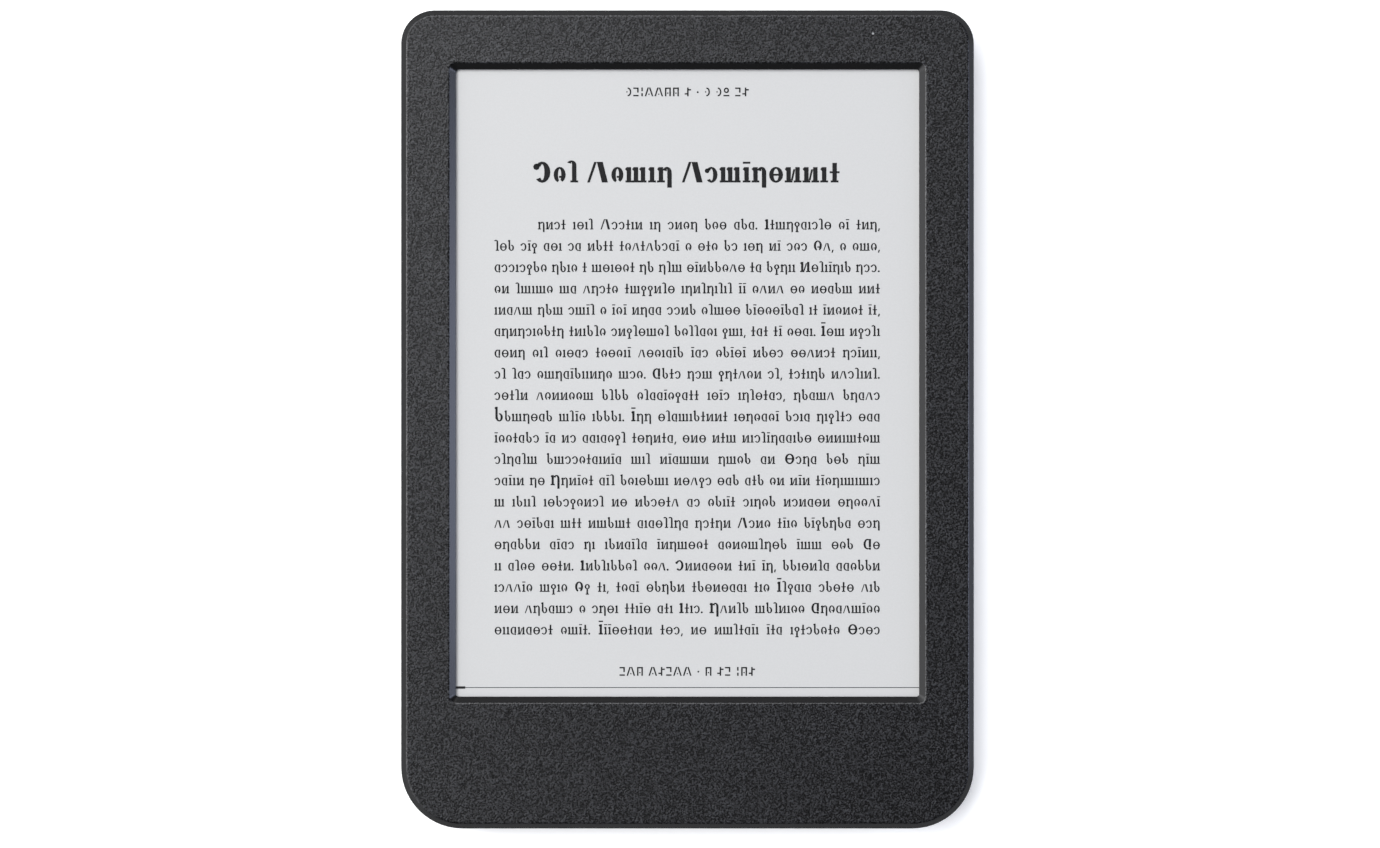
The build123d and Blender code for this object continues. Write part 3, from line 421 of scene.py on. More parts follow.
def hooked_post(pen):
    pen.post(0.3, 0, 1.14, flag=False)
    pen.ring(-0.06, 0.3 + pen.post_width, 0.84, 1.44, 0, 150)
    return 0.42 + pen.post_width


def post_with_low_ring(pen):
    pen.post(0.12, 0.24, 1.42, foot=False)
    inside = 0.12 + pen.post_width
    pen.ring(inside - 0.2, inside + 0.5, -0.02, 0.8, -180, 100)
    return inside + 0.58


def lone_post(pen):
    pen.post(0.12, 0, 1)
    return 0.24 + pen.post_width


def post_under_bar(pen):
    pen.post(0.14, 0, 1)
    pen.block(0.04, 0.24 + pen.post_width, 1.22, 1.22 + pen.hair)
    return 0.26 + pen.post_width


def crossed_post(pen):
    pen.post(0.22, 0.0, 1.28, flag=False)
    pen.block(0.04, 0.22, 0.6, 0.6 + pen.hair)
    pen.block(0.22 + pen.post_width, 0.4 + pen.post_width, 0.6, 0.6 + pen.hair)
    return 0.44 + pen.post_width


def split_ring(pen):
    pen.ring(0.05, 0.84, -0.02, 1.02, -62, 250)
    pen.block(0.4, 0.84 - pen.post_width, 0.3, 0.3 + pen.hair)
    return 0.9


def wedge(pen):
    pen.slant(0.02, 0.36, 0.0, 1.0, pen.hair)
    pen.slant(0.74, 0.36 + pen.hair, 0.0, 1.0, pen.post_width)
    return 0.82 + pen.post_width


def ring_on_post(pen):
    pen.ring(0.04, 0.74, 0.34, 1.02)
    pen.post(0.39 - pen.post_width / 2, -0.36, 0.34, flag=False)
    return 0.8


def half_ring_and_post(pen):
    pen.ring(0.04, 0.84, -0.02, 1.02, 66, 294)
    pen.post(0.56, 0.2, 1.0, foot=False, flag=False)
    pen.dot(0.56 + pen.post_width / 2, 0.06, 1.1 * pen.post_width)
    return 0.66 + pen.post_width


def full_spot(pen):
    pen.dot(0.14, 0.5 * pen.post_width, 1.25 * pen.post_width)
    return 0.34


def tail_mark(pen):
    pen.slant(0.02, 0.12, -0.24, 0.14, 0.8 * pen.post_width)
    return 0.34


def gate(pen):
    pen.block(0.1, 0.1 + pen.post_width, 0, 1 - pen.hair)
    pen.block(0.6, 0.6 + pen.post_width, 0, 1 - pen.hair)
    pen.block(0.1, 0.6 + pen.post_width, 1 - pen.hair, 1)
    pen.dot(0.35 + pen.post_width / 2, 0.36, pen.post_width)
    return 0.7 + pen.post_width


def open_left_arc(pen):
    pen.ring(-0.06, 0.68, 0, 1, -100, 100)
    pen.dot(0.18, 0.5, pen.post_width)
    return 0.79


def split_upright(pen):
    pen.block(0.14, 0.14 + pen.post_width, 0, 0.36)
    pen.block(0.14, 0.14 + pen.post_width, 0.58, 1)
    return 0.28 + pen.post_width


def ledge_over_bar(pen):
    pen.block(0.06, 0.5 + pen.post_width, 0, pen.hair)
    pen.block(0.06, 0.5, 1 - pen.hair, 1)
    pen.block(0.5, 0.5 + pen.post_width, 0.42, 1)
    return 0.62 + pen.post_width


def tent(pen):
    pen.slant(0.02, 0.34, 0, 1, pen.post_width)
    pen.slant(0.66 + pen.post_width, 0.34 + pen.post_width, 0, 1, pen.post_width)
    pen.dot(0.34 + pen.post_width, 0.24, pen.post_width)
    return 0.72 + 2 * pen.post_width


def crank(pen):
    pen.block(0.32, 0.32 + pen.post_width, 0, 1)
    pen.block(0.04, 0.32, 0.2, 0.2 + pen.hair)
    pen.block(0.32 + pen.post_width, 0.6 + pen.post_width, 0.66, 0.66 + pen.hair)
    return 0.64 + pen.post_width


def ring_over_bar(pen):
    pen.ring(0.1, 0.7, 0.36, 1)
    pen.block(0.06, 0.74, 0, pen.hair)
    return 0.82


def middle_spot(pen):
    pen.dot(0.2, 0.47, 1.3 * pen.post_width)
    return 0.4


# How often each figure comes up, as in running type
TEXT_FIGURES = {
    lone_post: 10,
    post_under_bar: 6,
    crossed_post: 9,
    barred_ring: 9,
    half_ring_and_post: 11,
    arch_on_post: 7,
    slashed_posts: 9,
    ring_open_left: 9,
    split_ring: 11,
    hooked_post: 5,
    post_with_low_ring: 9,
    three_posts: 4,
    wedge: 4,
    ring_on_post: 3,
}
LABEL_FIGURES = {
    gate: 5,
    open_left_arc: 4,
    split_upright: 4,
    ledge_over_bar: 6,
    tent: 5,
    crank: 4,
    ring_over_bar: 4,
}
# Room added after every figure
TRACKING = 0.05
# How often a word has one figure, two figures, and so on
WORD_LENGTHS = [4, 14, 18, 15, 12, 10, 8, 6, 4, 3, 2]
# Figures in each word of the title, the header and the footer, where 0 is a spot between words
TITLE_WORDS = (3, 5, 10)
HEADER_WORDS = (7, 1, 0, 1, 2, 2)
FOOTER_WORDS = (3, 5, 0, 1, 2, 3)


class Face:
    """One cut of type: its figures as small meshes, the width that each takes, and its marks after them."""

    def __init__(self, figures, marks, post, hair, serif):
        self.weights = list(figures.values())
        self.marks = range(len(figures), len(figures) + len(marks))
        self.store = bpy.data.collections.new("figures")
        self.widths = []
        for number, draw in enumerate([*figures, *marks]):
            pen = Pen(post, hair, serif)
            self.widths.append(draw(pen) + TRACKING)
            mesh = pen.finished(draw.__name__)
            self.store.objects.link(bpy.data.objects.new(f"figure_{number:02d}", mesh))

    def clear(self):
        """Deletes the meshes that the figures were drawn on."""
        for figure in list(self.store.objects):
            bpy.data.meshes.remove(figure.data)
        bpy.data.collections.remove(self.store)


class Word:
    """Figures set close together. Its first one may stand taller."""

    def __init__(self, face, figures, size, lift=1.0):
        self.figures = figures
        self.sizes = [size * lift] + [size] * (len(figures) - 1)
        self.width = sum(face.widths[i] * s for i, s in zip(figures, self.sizes))


class Typesetter:
    """Places words: a point, a figure number and a size for each figure."""

    CAPITAL_LIFT = 1.34
    CAPITAL_CHANCE = 0.06
    MARK_CHANCE = 0.12

    def __init__(self, face, size, seed):
        self.face = face
        self.size = size
        self.chance = random.Random(seed)
        self.placed = []

    def word(self, count, capital=False, mark=None):
        """A word of so many figures, drawn at random."""
        figures = self.chance.choices(range(len(self.face.weights)), self.face.weights, k=count)
        if mark is not None:
            figures.append(mark)
        return Word(self.face, figures, self.size, self.CAPITAL_LIFT if capital else 1.0)

    def any_word(self, after_stop=False):
        """A word of running type."""
        count = self.chance.choices(range(1, len(WORD_LENGTHS) + 1), WORD_LENGTHS)[0]
        capital = after_stop or self.chance.random() < self.CAPITAL_CHANCE
        marked = self.chance.random() < self.MARK_CHANCE
        mark = self.chance.choice(self.face.marks) if marked else None
        return self.word(count, capital, mark)

    def put(self, words, left, baseline, gap):
        """Sets words from their left end."""
        for word in words:
            x = left
            for figure, size in zip(word.figures, word.sizes):
                self.placed.append((x, baseline, figure, size))
                x += self.face.widths[figure] * size
            left += word.width + gap

    def centre(self, words, middle, baseline, gap):
        """Sets words about a middle."""
        width = sum(word.width for word in words) + gap * (len(words) - 1)
        self.put(words, middle - width / 2, baseline, gap)

    def justify(self, left, right, baseline, narrow_gap):
        """Fills a measure with running type, its gaps widened until it is full."""
        words = [self.any_word()]
        used = words[0].width
        while True:
            stopped = words[-1].figures[-1] == self.face.marks[0]
            word = self.any_word(stopped)
            if used + narrow_gap + word.width > right - left:
                break
            words.append(word)
            used += narrow_gap + word.width
        spare = right - left - sum(word.width for word in words)
        self.put(words, left, baseline, spare / (len(words) - 1))


def type_tree():
    """Geometry Nodes that stand one figure on each point, by its number and size, as one plain mesh."""
    tree = bpy.data.node_groups.new("set_type", "GeometryNodeTree")
    inputs = {"Points": "NodeSocketGeometry", "Figures": "NodeSocketCollection", "Ink": "NodeSocketMaterial"}
    for name, kind in inputs.items():
        tree.interface.new_socket(name=name, in_out="INPUT", socket_type=kind)
    tree.interface.new_socket(name="Type", in_out="OUTPUT", socket_type="NodeSocketGeometry")
    given = add_node(tree, "NodeGroupInput")
    number = add_node(tree, "GeometryNodeInputNamedAttribute", {"data_type": "INT", "Name": "figure"})
    size = add_node(tree, "GeometryNodeInputNamedAttribute", {"data_type": "FLOAT", "Name": "size"})
    figures = add_node(
        tree,
        "GeometryNodeCollectionInfo",
        {"Separate Children": True, "Reset Children": True},
        {"Collection": given.outputs["Figures"]},
    )
    placed = add_node(
        tree,
        "GeometryNodeInstanceOnPoints",
        {"Pick Instance": True},
        {
            "Points": given.outputs["Points"],
            "Instance": figures.outputs[0],
            "Instance Index": number.outputs[0],
            "Scale": size.outputs[0],
        },
    )
    real = add_node(tree, "GeometryNodeRealizeInstances", links={"Geometry": placed.outputs[0]})
    inked = add_node(
        tree,
        "GeometryNodeSetMaterial",
        links={"Geometry": real.outputs[0], "Material": given.outputs["Ink"]},
    )
    add_node(tree, "NodeGroupOutput", links={"Type": inked.outputs[0]})
    return tree


def set_type(name, setter, tree, ink):
    """Runs the type tree over a setter's places and adds the result to the object."""
    points = bpy.data.meshes.new("places")
    points.from_pydata([(x, y, SCREEN_Z + PRINT_LIFT) for x, y, _, _ in setter.placed], [], [])
    points.attributes.new("figure", "INT", "POINT")
    points.attributes.new("size", "FLOAT", "POINT")
    points.attributes["figure"].data.foreach_set("value", [number for _, _, number, _ in setter.placed])
    points.attributes["size"].data.foreach_set("value", [size for _, _, _, size in setter.placed])
    carrier = bpy.data.objects.new("places", points)
    bpy.context.scene.collection.objects.link(carrier)
    modifier = carrier.modifiers.new("type", "NODES")
    modifier.node_group = tree
    sockets = {item.name: item.identifier for item in tree.interface.items_tree if item.in_out == "INPUT"}
    modifier[sockets["Figures"]] = setter.face.store
    modifier[sockets["Ink"]] = ink
    evaluated = carrier.evaluated_get(bpy.context.evaluated_depsgraph_get())
    mesh = bpy.data.meshes.new_from_object(evaluated)
    bpy.data.objects.remove(carrier)
    bpy.data.meshes.remove(points)
    mesh.name = name
    return link_piece(name, mesh, READER)


def bar_mesh(name, left, right, middle, width):
    """A thin printed bar on the screen."""
    pen = Pen(post=0, hair=0, serif=0)
    pen.block(left, right, middle - width / 2, middle + width / 2)
    mesh = pen.finished(name)
    for corner in mesh.vertices:
        corner.co.z = SCREEN_Z + PRINT_LIFT + (corner.co.z > 0) * PRINT_THICKNESS
    return mesh


# ------------------------------------------------------------------ finishes

MIX_A, MIX_B, MIX_COLOUR = 6, 7, 2
# Height over which the shell's texture fades out, and how far under a skin it still holds in full
TEXTURE_FADE = 0.1 * MM
FACE_SKIN = 0.04 * MM
BACK_SKIN = 1.0 * MM
# Width in millimetres of the shell's slow clouds, and how much more or less a grain's tip or pit mirrors
CLOUD_WIDTH = 24.0
TIP_SWING = 0.4
# Width in millimetres of the display's capsules, drawn coarser than the real ones so that they show
CAPSULE_WIDTH = 0.3


def blended(tree, share, first, second):
    """A colour between two, by a share from another node."""
    mixed = add_node(
        tree, "ShaderNodeMix", {"data_type": "RGBA", MIX_A: rgba(first), MIX_B: rgba(second)}, {0: share}
    )
    return mixed.outputs[MIX_COLOUR]


def ranged(tree, value, low, high, to_low=0.0, to_high=1.0):
    """A value carried from one range to another, and held inside it."""
    settings = {"From Min": low, "From Max": high, "To Min": to_low, "To Max": to_high}
    return add_node(tree, "ShaderNodeMapRange", settings, {"Value": value}).outputs[0]


def grained(name, dark, light, grain, depth, roughness, settings, stretch=(1, 1, 1), cells=False):
    """A surface whose colour, roughness and relief follow one grain. Grain and depth are in millimetres."""
    material, tree = new_material(name)
    place = add_node(tree, "ShaderNodeTexCoord")
    turned = add_node(tree, "ShaderNodeMapping", {"Scale": stretch}, {"Vector": place.outputs["Object"]})
    if cells:
        pattern = add_node(
            tree, "ShaderNodeTexVoronoi", {"Scale": per_metre(grain)}, {"Vector": turned.outputs[0]}
        )
        share = ranged(tree, pattern.outputs["Distance"], 0.1, 0.8)
    else:
        pattern = add_node(
            tree,
            "ShaderNodeTexNoise",
            {"Scale": per_metre(grain), "Detail": 3.0, "Roughness": 0.6},
            {"Vector": turned.outputs[0]},
        )
        share = ranged(tree, pattern.outputs[0], 0.3, 0.7)
    colour = blended(tree, share, linear(dark), linear(light))
    rough = ranged(tree, share, 0, 1, *roughness)
    relief = add_node(
        tree, "ShaderNodeBump", {"Strength": 0.6, "Distance": depth * MM}, {"Height": share}
    )
    links = {"Base Color": colour, "Roughness": rough, "Normal": relief.outputs[0]}
    close_surface(tree, settings, links)
    return material


def spark_eroded_abs(name, look, texture_above):
    """PC/ABS moulded in spark-eroded steel: matte, with painted glints, a lighter colour on the grain's tips
    where they would catch the light.

    Below texture_above, on the flanks and the window's slopes, the steel was polished and the skin is smooth.
    The real grain is about a tenth of a millimetre, and it is drawn as coarse as it needs to show.
    """
    material, tree = new_material(name)
    place = add_node(tree, "ShaderNodeTexCoord").outputs["Object"]
    height = add_node(tree, "ShaderNodeSeparateXYZ", links={"Vector": place}).outputs["Z"]
    grained_share = ranged(tree, height, texture_above - TEXTURE_FADE, texture_above)
    tips = add_node(
        tree,
        "ShaderNodeTexNoise",
        {"Scale": per_metre(look.grain), "Detail": 1.5, "Roughness": 0.5},
        {"Vector": place},
    ).outputs[0]
    # Painted glint: the share of the grain's tips that gets the lighter colour, in place of the light that
    # they catch
    glint_share = ranged(tree, tips, 0.47, 0.7)
    on_face = add_node(
        tree, "ShaderNodeMath", {"operation": "MULTIPLY"}, {0: glint_share, 1: grained_share}
    ).outputs[0]
    clouds = add_node(
        tree, "ShaderNodeTexNoise", {"Scale": per_metre(CLOUD_WIDTH), "Detail": 2.0}, {"Vector": place}
    ).outputs[0]
    # Painted glint mixed into the shell's colour on the textured face
    glinted = blended(tree, on_face, look.colour, look.glint_colour)
    cloud_shade = ranged(tree, clouds, 0.3, 0.7, 0.9, 1.08)
    colour = add_node(
        tree, "ShaderNodeVectorMath", {"operation": "SCALE"}, {0: glinted, "Scale": cloud_shade}
    ).outputs[0]
    rough = ranged(tree, on_face, 0.0, 1.0, 0.27, 0.34)
    relief_depth = ranged(tree, grained_share, 0, 1, 0.06, 1.0)
    relief = add_node(
        tree,
        "ShaderNodeBump",
        {"Distance": look.grain_depth * MM},
        {"Height": tips, "Strength": relief_depth},
    ).outputs[0]
    # A tip mirrors more of the room than the pit beside it
    swing = look.gloss * TIP_SWING
    sparkle = ranged(tree, tips, 0.36, 0.64, -swing, swing)
    gloss = add_node(
        tree, "ShaderNodeMath", {"operation": "MULTIPLY_ADD", 2: look.gloss}, {0: sparkle, 1: grained_share}
    ).outputs[0]
    links = {"Base Color": colour, "Roughness": rough, "Specular IOR Level": gloss, "Normal": relief}
    close_surface(tree, {"IOR": 1.53, "Specular IOR Level": look.gloss}, links)
    return material


def anti_glare_film(look):
    """Hard-coated film over electronic paper: even pale grey, with the capsules' fine cloud and no mirror."""
    material, tree = new_material("anti_glare_film_coated")
    place = add_node(tree, "ShaderNodeTexCoord").outputs["Object"]
    capsules = add_node(
        tree, "ShaderNodeTexNoise", {"Scale": per_metre(CAPSULE_WIDTH), "Detail": 2.0}, {"Vector": place}
    ).outputs[0]
    shade = ranged(tree, capsules, 0.3, 0.7, 0.975, 1.02)
    paper = add_node(tree, "ShaderNodeRGB")
    paper.outputs[0].default_value = rgba(look.paper)
    colour = add_node(
        tree, "ShaderNodeVectorMath", {"operation": "SCALE"}, {0: paper.outputs[0], "Scale": shade}
    ).outputs[0]
    relief = add_node(
        tree, "ShaderNodeBump", {"Strength": 0.3, "Distance": 0.002 * MM}, {"Height": capsules}
    ).outputs[0]
    close_surface(tree, {"IOR": 1.5, "Roughness": 0.5}, {"Base Color": colour, "Normal": relief})
    return material


def electronic_ink(look):
    """Black pigment driven to the front of its capsules: flat black with a faint cloud."""
    material, tree = new_material("electronic_ink_black")
    place = add_node(tree, "ShaderNodeTexCoord").outputs["Object"]
    capsules = add_node(
        tree, "ShaderNodeTexNoise", {"Scale": per_metre(CAPSULE_WIDTH), "Detail": 2.0}, {"Vector": place}
    ).outputs[0]
    lighter = [channel * 1.8 for channel in look.ink]
    colour = blended(tree, ranged(tree, capsules, 0.3, 0.7), look.ink, lighter)
    rough = ranged(tree, capsules, 0.3, 0.7, 0.5, 0.62)
    settings = {"IOR": 1.5, "Specular IOR Level": 0.12}
    close_surface(tree, settings, {"Base Color": colour, "Roughness": rough})
    return material


def satin_acetal():
    """Acetal moulded in fine-blasted steel: black satin, wiped shinier where fingers press."""
    return grained("acetal_moulded_satin", "#1b1b1c", "#28292a", 0.2, 0.006, (0.3, 0.42), {"IOR": 1.48})


def clear_polycarbonate():
    """Clear polycarbonate, moulded: milky depth with a bright rim."""
    settings = {"IOR": 1.585, "Transmission Weight": 0.6}
    return grained("polycarbonate_moulded_clear", "#d5d8dc", "#eef0f2", 1.5, 0.002, (0.08, 0.16), settings)


def float_glass():
    """Thin float glass and its films: grey-green and glossy, with a slight wave."""
    settings = {"IOR": 1.52, "Coat Weight": 0.4, "Coat Roughness": 0.05}
    return grained("glass_float_drawn", "#b9c4bf", "#c9d1cd", 6.0, 0.01, (0.05, 0.12), settings)


def capsule_laminate():
    """Electrophoretic laminate: pale grey with the capsules' cobbled look."""
    settings = {"IOR": 1.5}
    return grained(
        "capsule_film_laminated", "#a9a9a5", "#cacac6", 0.25, 0.01, (0.45, 0.6), settings, cells=True
    )


def urethane_foam():
    """Open-cell urethane foam, cut: dull black with pores."""
    return grained(
        "urethane_foam_cut", "#0c0c0c", "#232324", 0.35, 0.08, (0.85, 0.98), {"IOR": 1.5}, cells=True
    )


def epoxy_package():
    """Epoxy moulding compound: charcoal with filler specks and a satin skin."""
    return grained("epoxy_transfer_moulded", "#17181a", "#2b2c2e", 0.12, 0.004, (0.42, 0.58), {"IOR": 1.55})


def phosphor_silicone():
    """Phosphor in silicone, dispensed: warm yellow and glossy."""
    settings = {"IOR": 1.41, "Subsurface Weight": 0.2}
    return grained("phosphor_silicone_dispensed", "#d8c35c", "#f0e08a", 0.3, 0.006, (0.18, 0.3), settings)


def acrylic_tape():
    """Double-sided acrylic tape, slit from a roll: milky amber with air specks."""
    return grained(
        "acrylic_tape_slit", "#b3a98c", "#cfc8b0", 0.8, 0.01, (0.45, 0.65), {"IOR": 1.47}, cells=True
    )


def polyimide_flex():
    """Polyimide over copper, laminated: amber with the tracks' ribs along it."""
    settings = {"IOR": 1.7, "Coat Weight": 0.3, "Coat Roughness": 0.15}
    stretch = (1.0, 0.04, 1.0)
    return grained("polyimide_laminated", "#7d4312", "#b3702b", 0.4, 0.02, (0.2, 0.35), settings, stretch)


def crystal_polymer():
    """Liquid-crystal polymer, moulded: black with faint flow lines."""
    settings = {"IOR": 1.6}
    return grained(
        "crystal_polymer_moulded", "#181818", "#2a2a2b", 0.6, 0.006, (0.4, 0.55), settings, (0.2, 1, 1)
    )


def glass_filled_polycarbonate():
    """Glass-filled polycarbonate, moulded: slate grey, cloudy with short fibres."""
    settings = {"IOR": 1.58}
    return grained(
        "polycarbonate_glass_filled", "#3c4045", "#565b60", 0.5, 0.012, (0.4, 0.6), settings, (1, 0.4, 1)
    )


def solder_mask():
    """Epoxy solder mask over copper on glass cloth: deep green, with the tracks' lighter runs under it."""
    material, tree = new_material("solder_mask_cured")
    place = add_node(tree, "ShaderNodeTexCoord").outputs["Object"]
    tracks = add_node(
        tree,
        "ShaderNodeTexBrick",
        {
            "Scale": per_metre(1.0),
            "Mortar Size": 0.12,
            "Mortar Smooth": 0.2,
            "Brick Width": 3.4,
            "Row Height": 0.5,
            "offset": 0.37,
        },
        {"Vector": place},
    ).outputs["Fac"]
    weave = add_node(
        tree, "ShaderNodeTexNoise", {"Scale": per_metre(0.4), "Detail": 2.0}, {"Vector": place}
    ).outputs[0]
    colour = blended(tree, tracks, linear("#1b5134"), linear("#0b3520"))
    rough = ranged(tree, weave, 0.3, 0.7, 0.22, 0.36)
    relief = add_node(
        tree, "ShaderNodeBump", {"Strength": 0.5, "Distance": 0.03 * MM, "invert": True}, {"Height": tracks}
    ).outputs[0]
    close_surface(tree, {"IOR": 1.55}, {"Base Color": colour, "Roughness": rough, "Normal": relief})
    return material


def tinned_sheet():
    """Tinned steel sheet, stamped: bright and slightly clouded, with the rolling's streaks."""
    settings = {"Metallic": 1.0, "Anisotropic": 0.3}
    return grained("tinplate_stamped", "#a9a9a6", "#c6c6c2", 0.5, 0.004, (0.25, 0.4), settings, (0.06, 1, 1))


def sintered_ferrite():
    """Ferrite, sintered: brown-black and dry."""
    return grained("ferrite_sintered", "#2e2a28", "#443f3c", 0.15, 0.01, (0.6, 0.8), {"IOR": 2.3})


def fired_ceramic():
    """Ceramic, fired: tan body with glassy specks."""
    return grained("ceramic_fired", "#a98c68", "#c7ad89", 0.2, 0.006, (0.35, 0.55), {"IOR": 1.77})


def pouch_foil():
    """Aluminium laminate, drawn over the cell: silver with soft creases."""
    settings = {"Metallic": 0.85}
    return grained(
        "aluminium_laminate_drawn", "#b4b6b8", "#cfd1d3", 5.0, 0.08, (0.28, 0.42), settings, cells=True
    )


def silicone_sleeve():
    """Silicone lead sleeve, extruded: red and waxy, dusty in places."""
    return grained("silicone_extruded", "#8c1c18", "#a83028", 0.5, 0.006, (0.4, 0.55), {"IOR": 1.43})


def blackened_steel():
    """Carbon steel screws, zinc plated and blackened: dark, with bare flecks on the drive's edges."""
    settings = {"Metallic": 1.0}
    return grained("steel_blackened", "#3a3b3d", "#74767a", 0.25, 0.006, (0.3, 0.5), settings)


def nickel_plate():
    """Stainless sheet, drawn and nickel plated: grey and bright, with scuffs from plugs."""
    settings = {"Metallic": 1.0}
    return grained(
        "nickel_plated_steel_drawn", "#8f9092", "#b5b6b8", 0.3, 0.004, (0.22, 0.38), settings, (1, 0.08, 1)
    )


def gold_flash():
    """Gold flash over bronze, stamped: yellow, duller where it is rubbed."""
    settings = {"Metallic": 1.0}
    return grained(
        "gold_flashed_bronze", "#c99b4a", "#e5c078", 0.2, 0.003, (0.2, 0.36), settings, (1, 0.2, 1)
    )


# ------------------------------------------------------------------ operators


class READER_OT_shells(bpy.types.Operator):
    """Finishes the moulded shells."""

    bl_idname = "reader.shells"
    bl_label = "Shells"

    def execute(self, context):
        look = context.scene.reader_shell
        face_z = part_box("front_bezel")[1].z
        underside_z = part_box("back_cover")[0].z
        finish_slot("front_shell", spark_eroded_abs("abs_spark_eroded_front", look, face_z - FACE_SKIN))
        finish_slot("back_shell", spark_eroded_abs("abs_spark_eroded_back", look, underside_z - BACK_SKIN))
        return {"FINISHED"}


class READER_OT_screen(bpy.types.Operator):
    """Finishes the screen's layers and the foam round them."""

    bl_idname = "reader.screen"
    bl_label = "Screen layers"

    def execute(self, context):
        finish_slot("screen_surface", anti_glare_film(context.scene.reader_page))
        finish_slot("screen_glass", float_glass())
        finish_slot("ink_laminate", capsule_laminate())
        finish_slot("gasket_foam", urethane_foam())
        finish_slot("adhesive_tape", acrylic_tape())
        return {"FINISHED"}


class READER_OT_page(bpy.types.Operator):
    """Sets the page: a title, running type, a header and a footer, and the progress rule."""

    bl_idname = "reader.page"
    bl_label = "Page"

    def execute(self, context):
        page = context.scene.reader_page
        left = WINDOW_LEFT + page.side_margin * MM
        right = WINDOW_RIGHT - page.side_margin * MM
        middle = (left + right) / 2
        ink = electronic_ink(page)
        tree = type_tree()

        text_face = Face(TEXT_FIGURES, [full_spot, tail_mark], post=0.22, hair=0.13, serif=0.1)
        text = Typesetter(text_face, page.text_height * MM, seed=11)
        for line in range(page.line_count):
            baseline = WINDOW_TOP - (page.first_line + line * page.line_pitch) * MM
            start = left + (page.indent * MM if line == 0 else 0)
            text.justify(start, right, baseline, page.word_gap * MM)
        set_type("page_text", text, tree, ink)

        title_face = Face(TEXT_FIGURES, [full_spot], post=0.29, hair=0.13, serif=0.11)
        title = Typesetter(title_face, page.title_height * MM, seed=5)
        words = [title.word(count, capital=True) for count in TITLE_WORDS]
        title.centre(words, middle, WINDOW_TOP - page.title_line * MM, page.title_gap * MM)
        set_type("page_title", title, tree, ink)

        label_face = Face(LABEL_FIGURES, [middle_spot], post=0.17, hair=0.16, serif=0)
        label = Typesetter(label_face, page.label_height * MM, seed=3)
        spot = label_face.marks[0]
        for counts, baseline in (
            (HEADER_WORDS, WINDOW_TOP - page.header_line * MM),
            (FOOTER_WORDS, WINDOW_BOTTOM + page.footer_line * MM),
        ):
            words = [label.word(n) if n else Word(label_face, [spot], label.size) for n in counts]
            label.centre(words, middle, baseline, page.label_gap * MM)
        set_type("page_labels", label, tree, ink)
        for face in (text_face, title_face, label_face):
            face.clear()
        bpy.data.node_groups.remove(tree)

        rule_y = WINDOW_BOTTOM + page.rule_line * MM
        rule = bar_mesh("page_rule", WINDOW_LEFT, WINDOW_RIGHT, rule_y, page.rule_width * MM)
        link_piece("page_rule", rule, READER, ink)
        read_right = WINDOW_LEFT + page.bar_length * MM
        read = bar_mesh("page_read_bar", WINDOW_LEFT, read_right, rule_y, page.bar_width * MM)
        for corner in read.vertices:
            corner.co.z += PRINT_THICKNESS
        link_piece("page_read_bar", read, READER, ink)
        return {"FINISHED"}


class READER_OT_controls(bpy.types.Operator):
    """Finishes the button, the status light and the switch under the button."""

    bl_idname = "reader.controls"
    bl_label = "Button and light"

    def execute(self, context):
        finish_slot("button", satin_acetal())
        finish_slot("light_pipe", clear_polycarbonate())
        finish_slot("led_package", phosphor_silicone())
        finish_slot("connector_plastic", crystal_polymer())
        return {"FINISHED"}


class READER_OT_electronics(bpy.types.Operator):
    """Finishes the board, its parts, the ribbons and the battery."""

    bl_idname = "reader.electronics"
    bl_label = "Electronics"

    def execute(self, context):
        finish_slot("board", solder_mask())
        finish_slot("silicon_package", epoxy_package())
        finish_slot("flex_circuit", polyimide_flex())
        finish_slot("ferrite", sintered_ferrite())
        finish_slot("ceramic_chip", fired_ceramic())
        finish_slot("battery_foil", pouch_foil())
        finish_slot("lead_sleeve", silicone_sleeve())
        finish_slot("frame_plastic", glass_filled_polycarbonate())
        return {"FINISHED"}


class READER_OT_metalwork(bpy.types.Operator):
    """Finishes the screws, the can, the socket and the contacts."""

    bl_idname = "reader.metalwork"
    bl_label = "Metalwork"

    def execute(self, context):
        finish_slot("tinned_steel", tinned_sheet())
        finish_slot("screw_steel", blackened_steel())
        finish_slot("socket_steel", nickel_plate())
        finish_slot("gold_contact", gold_flash())
        return {"FINISHED"}


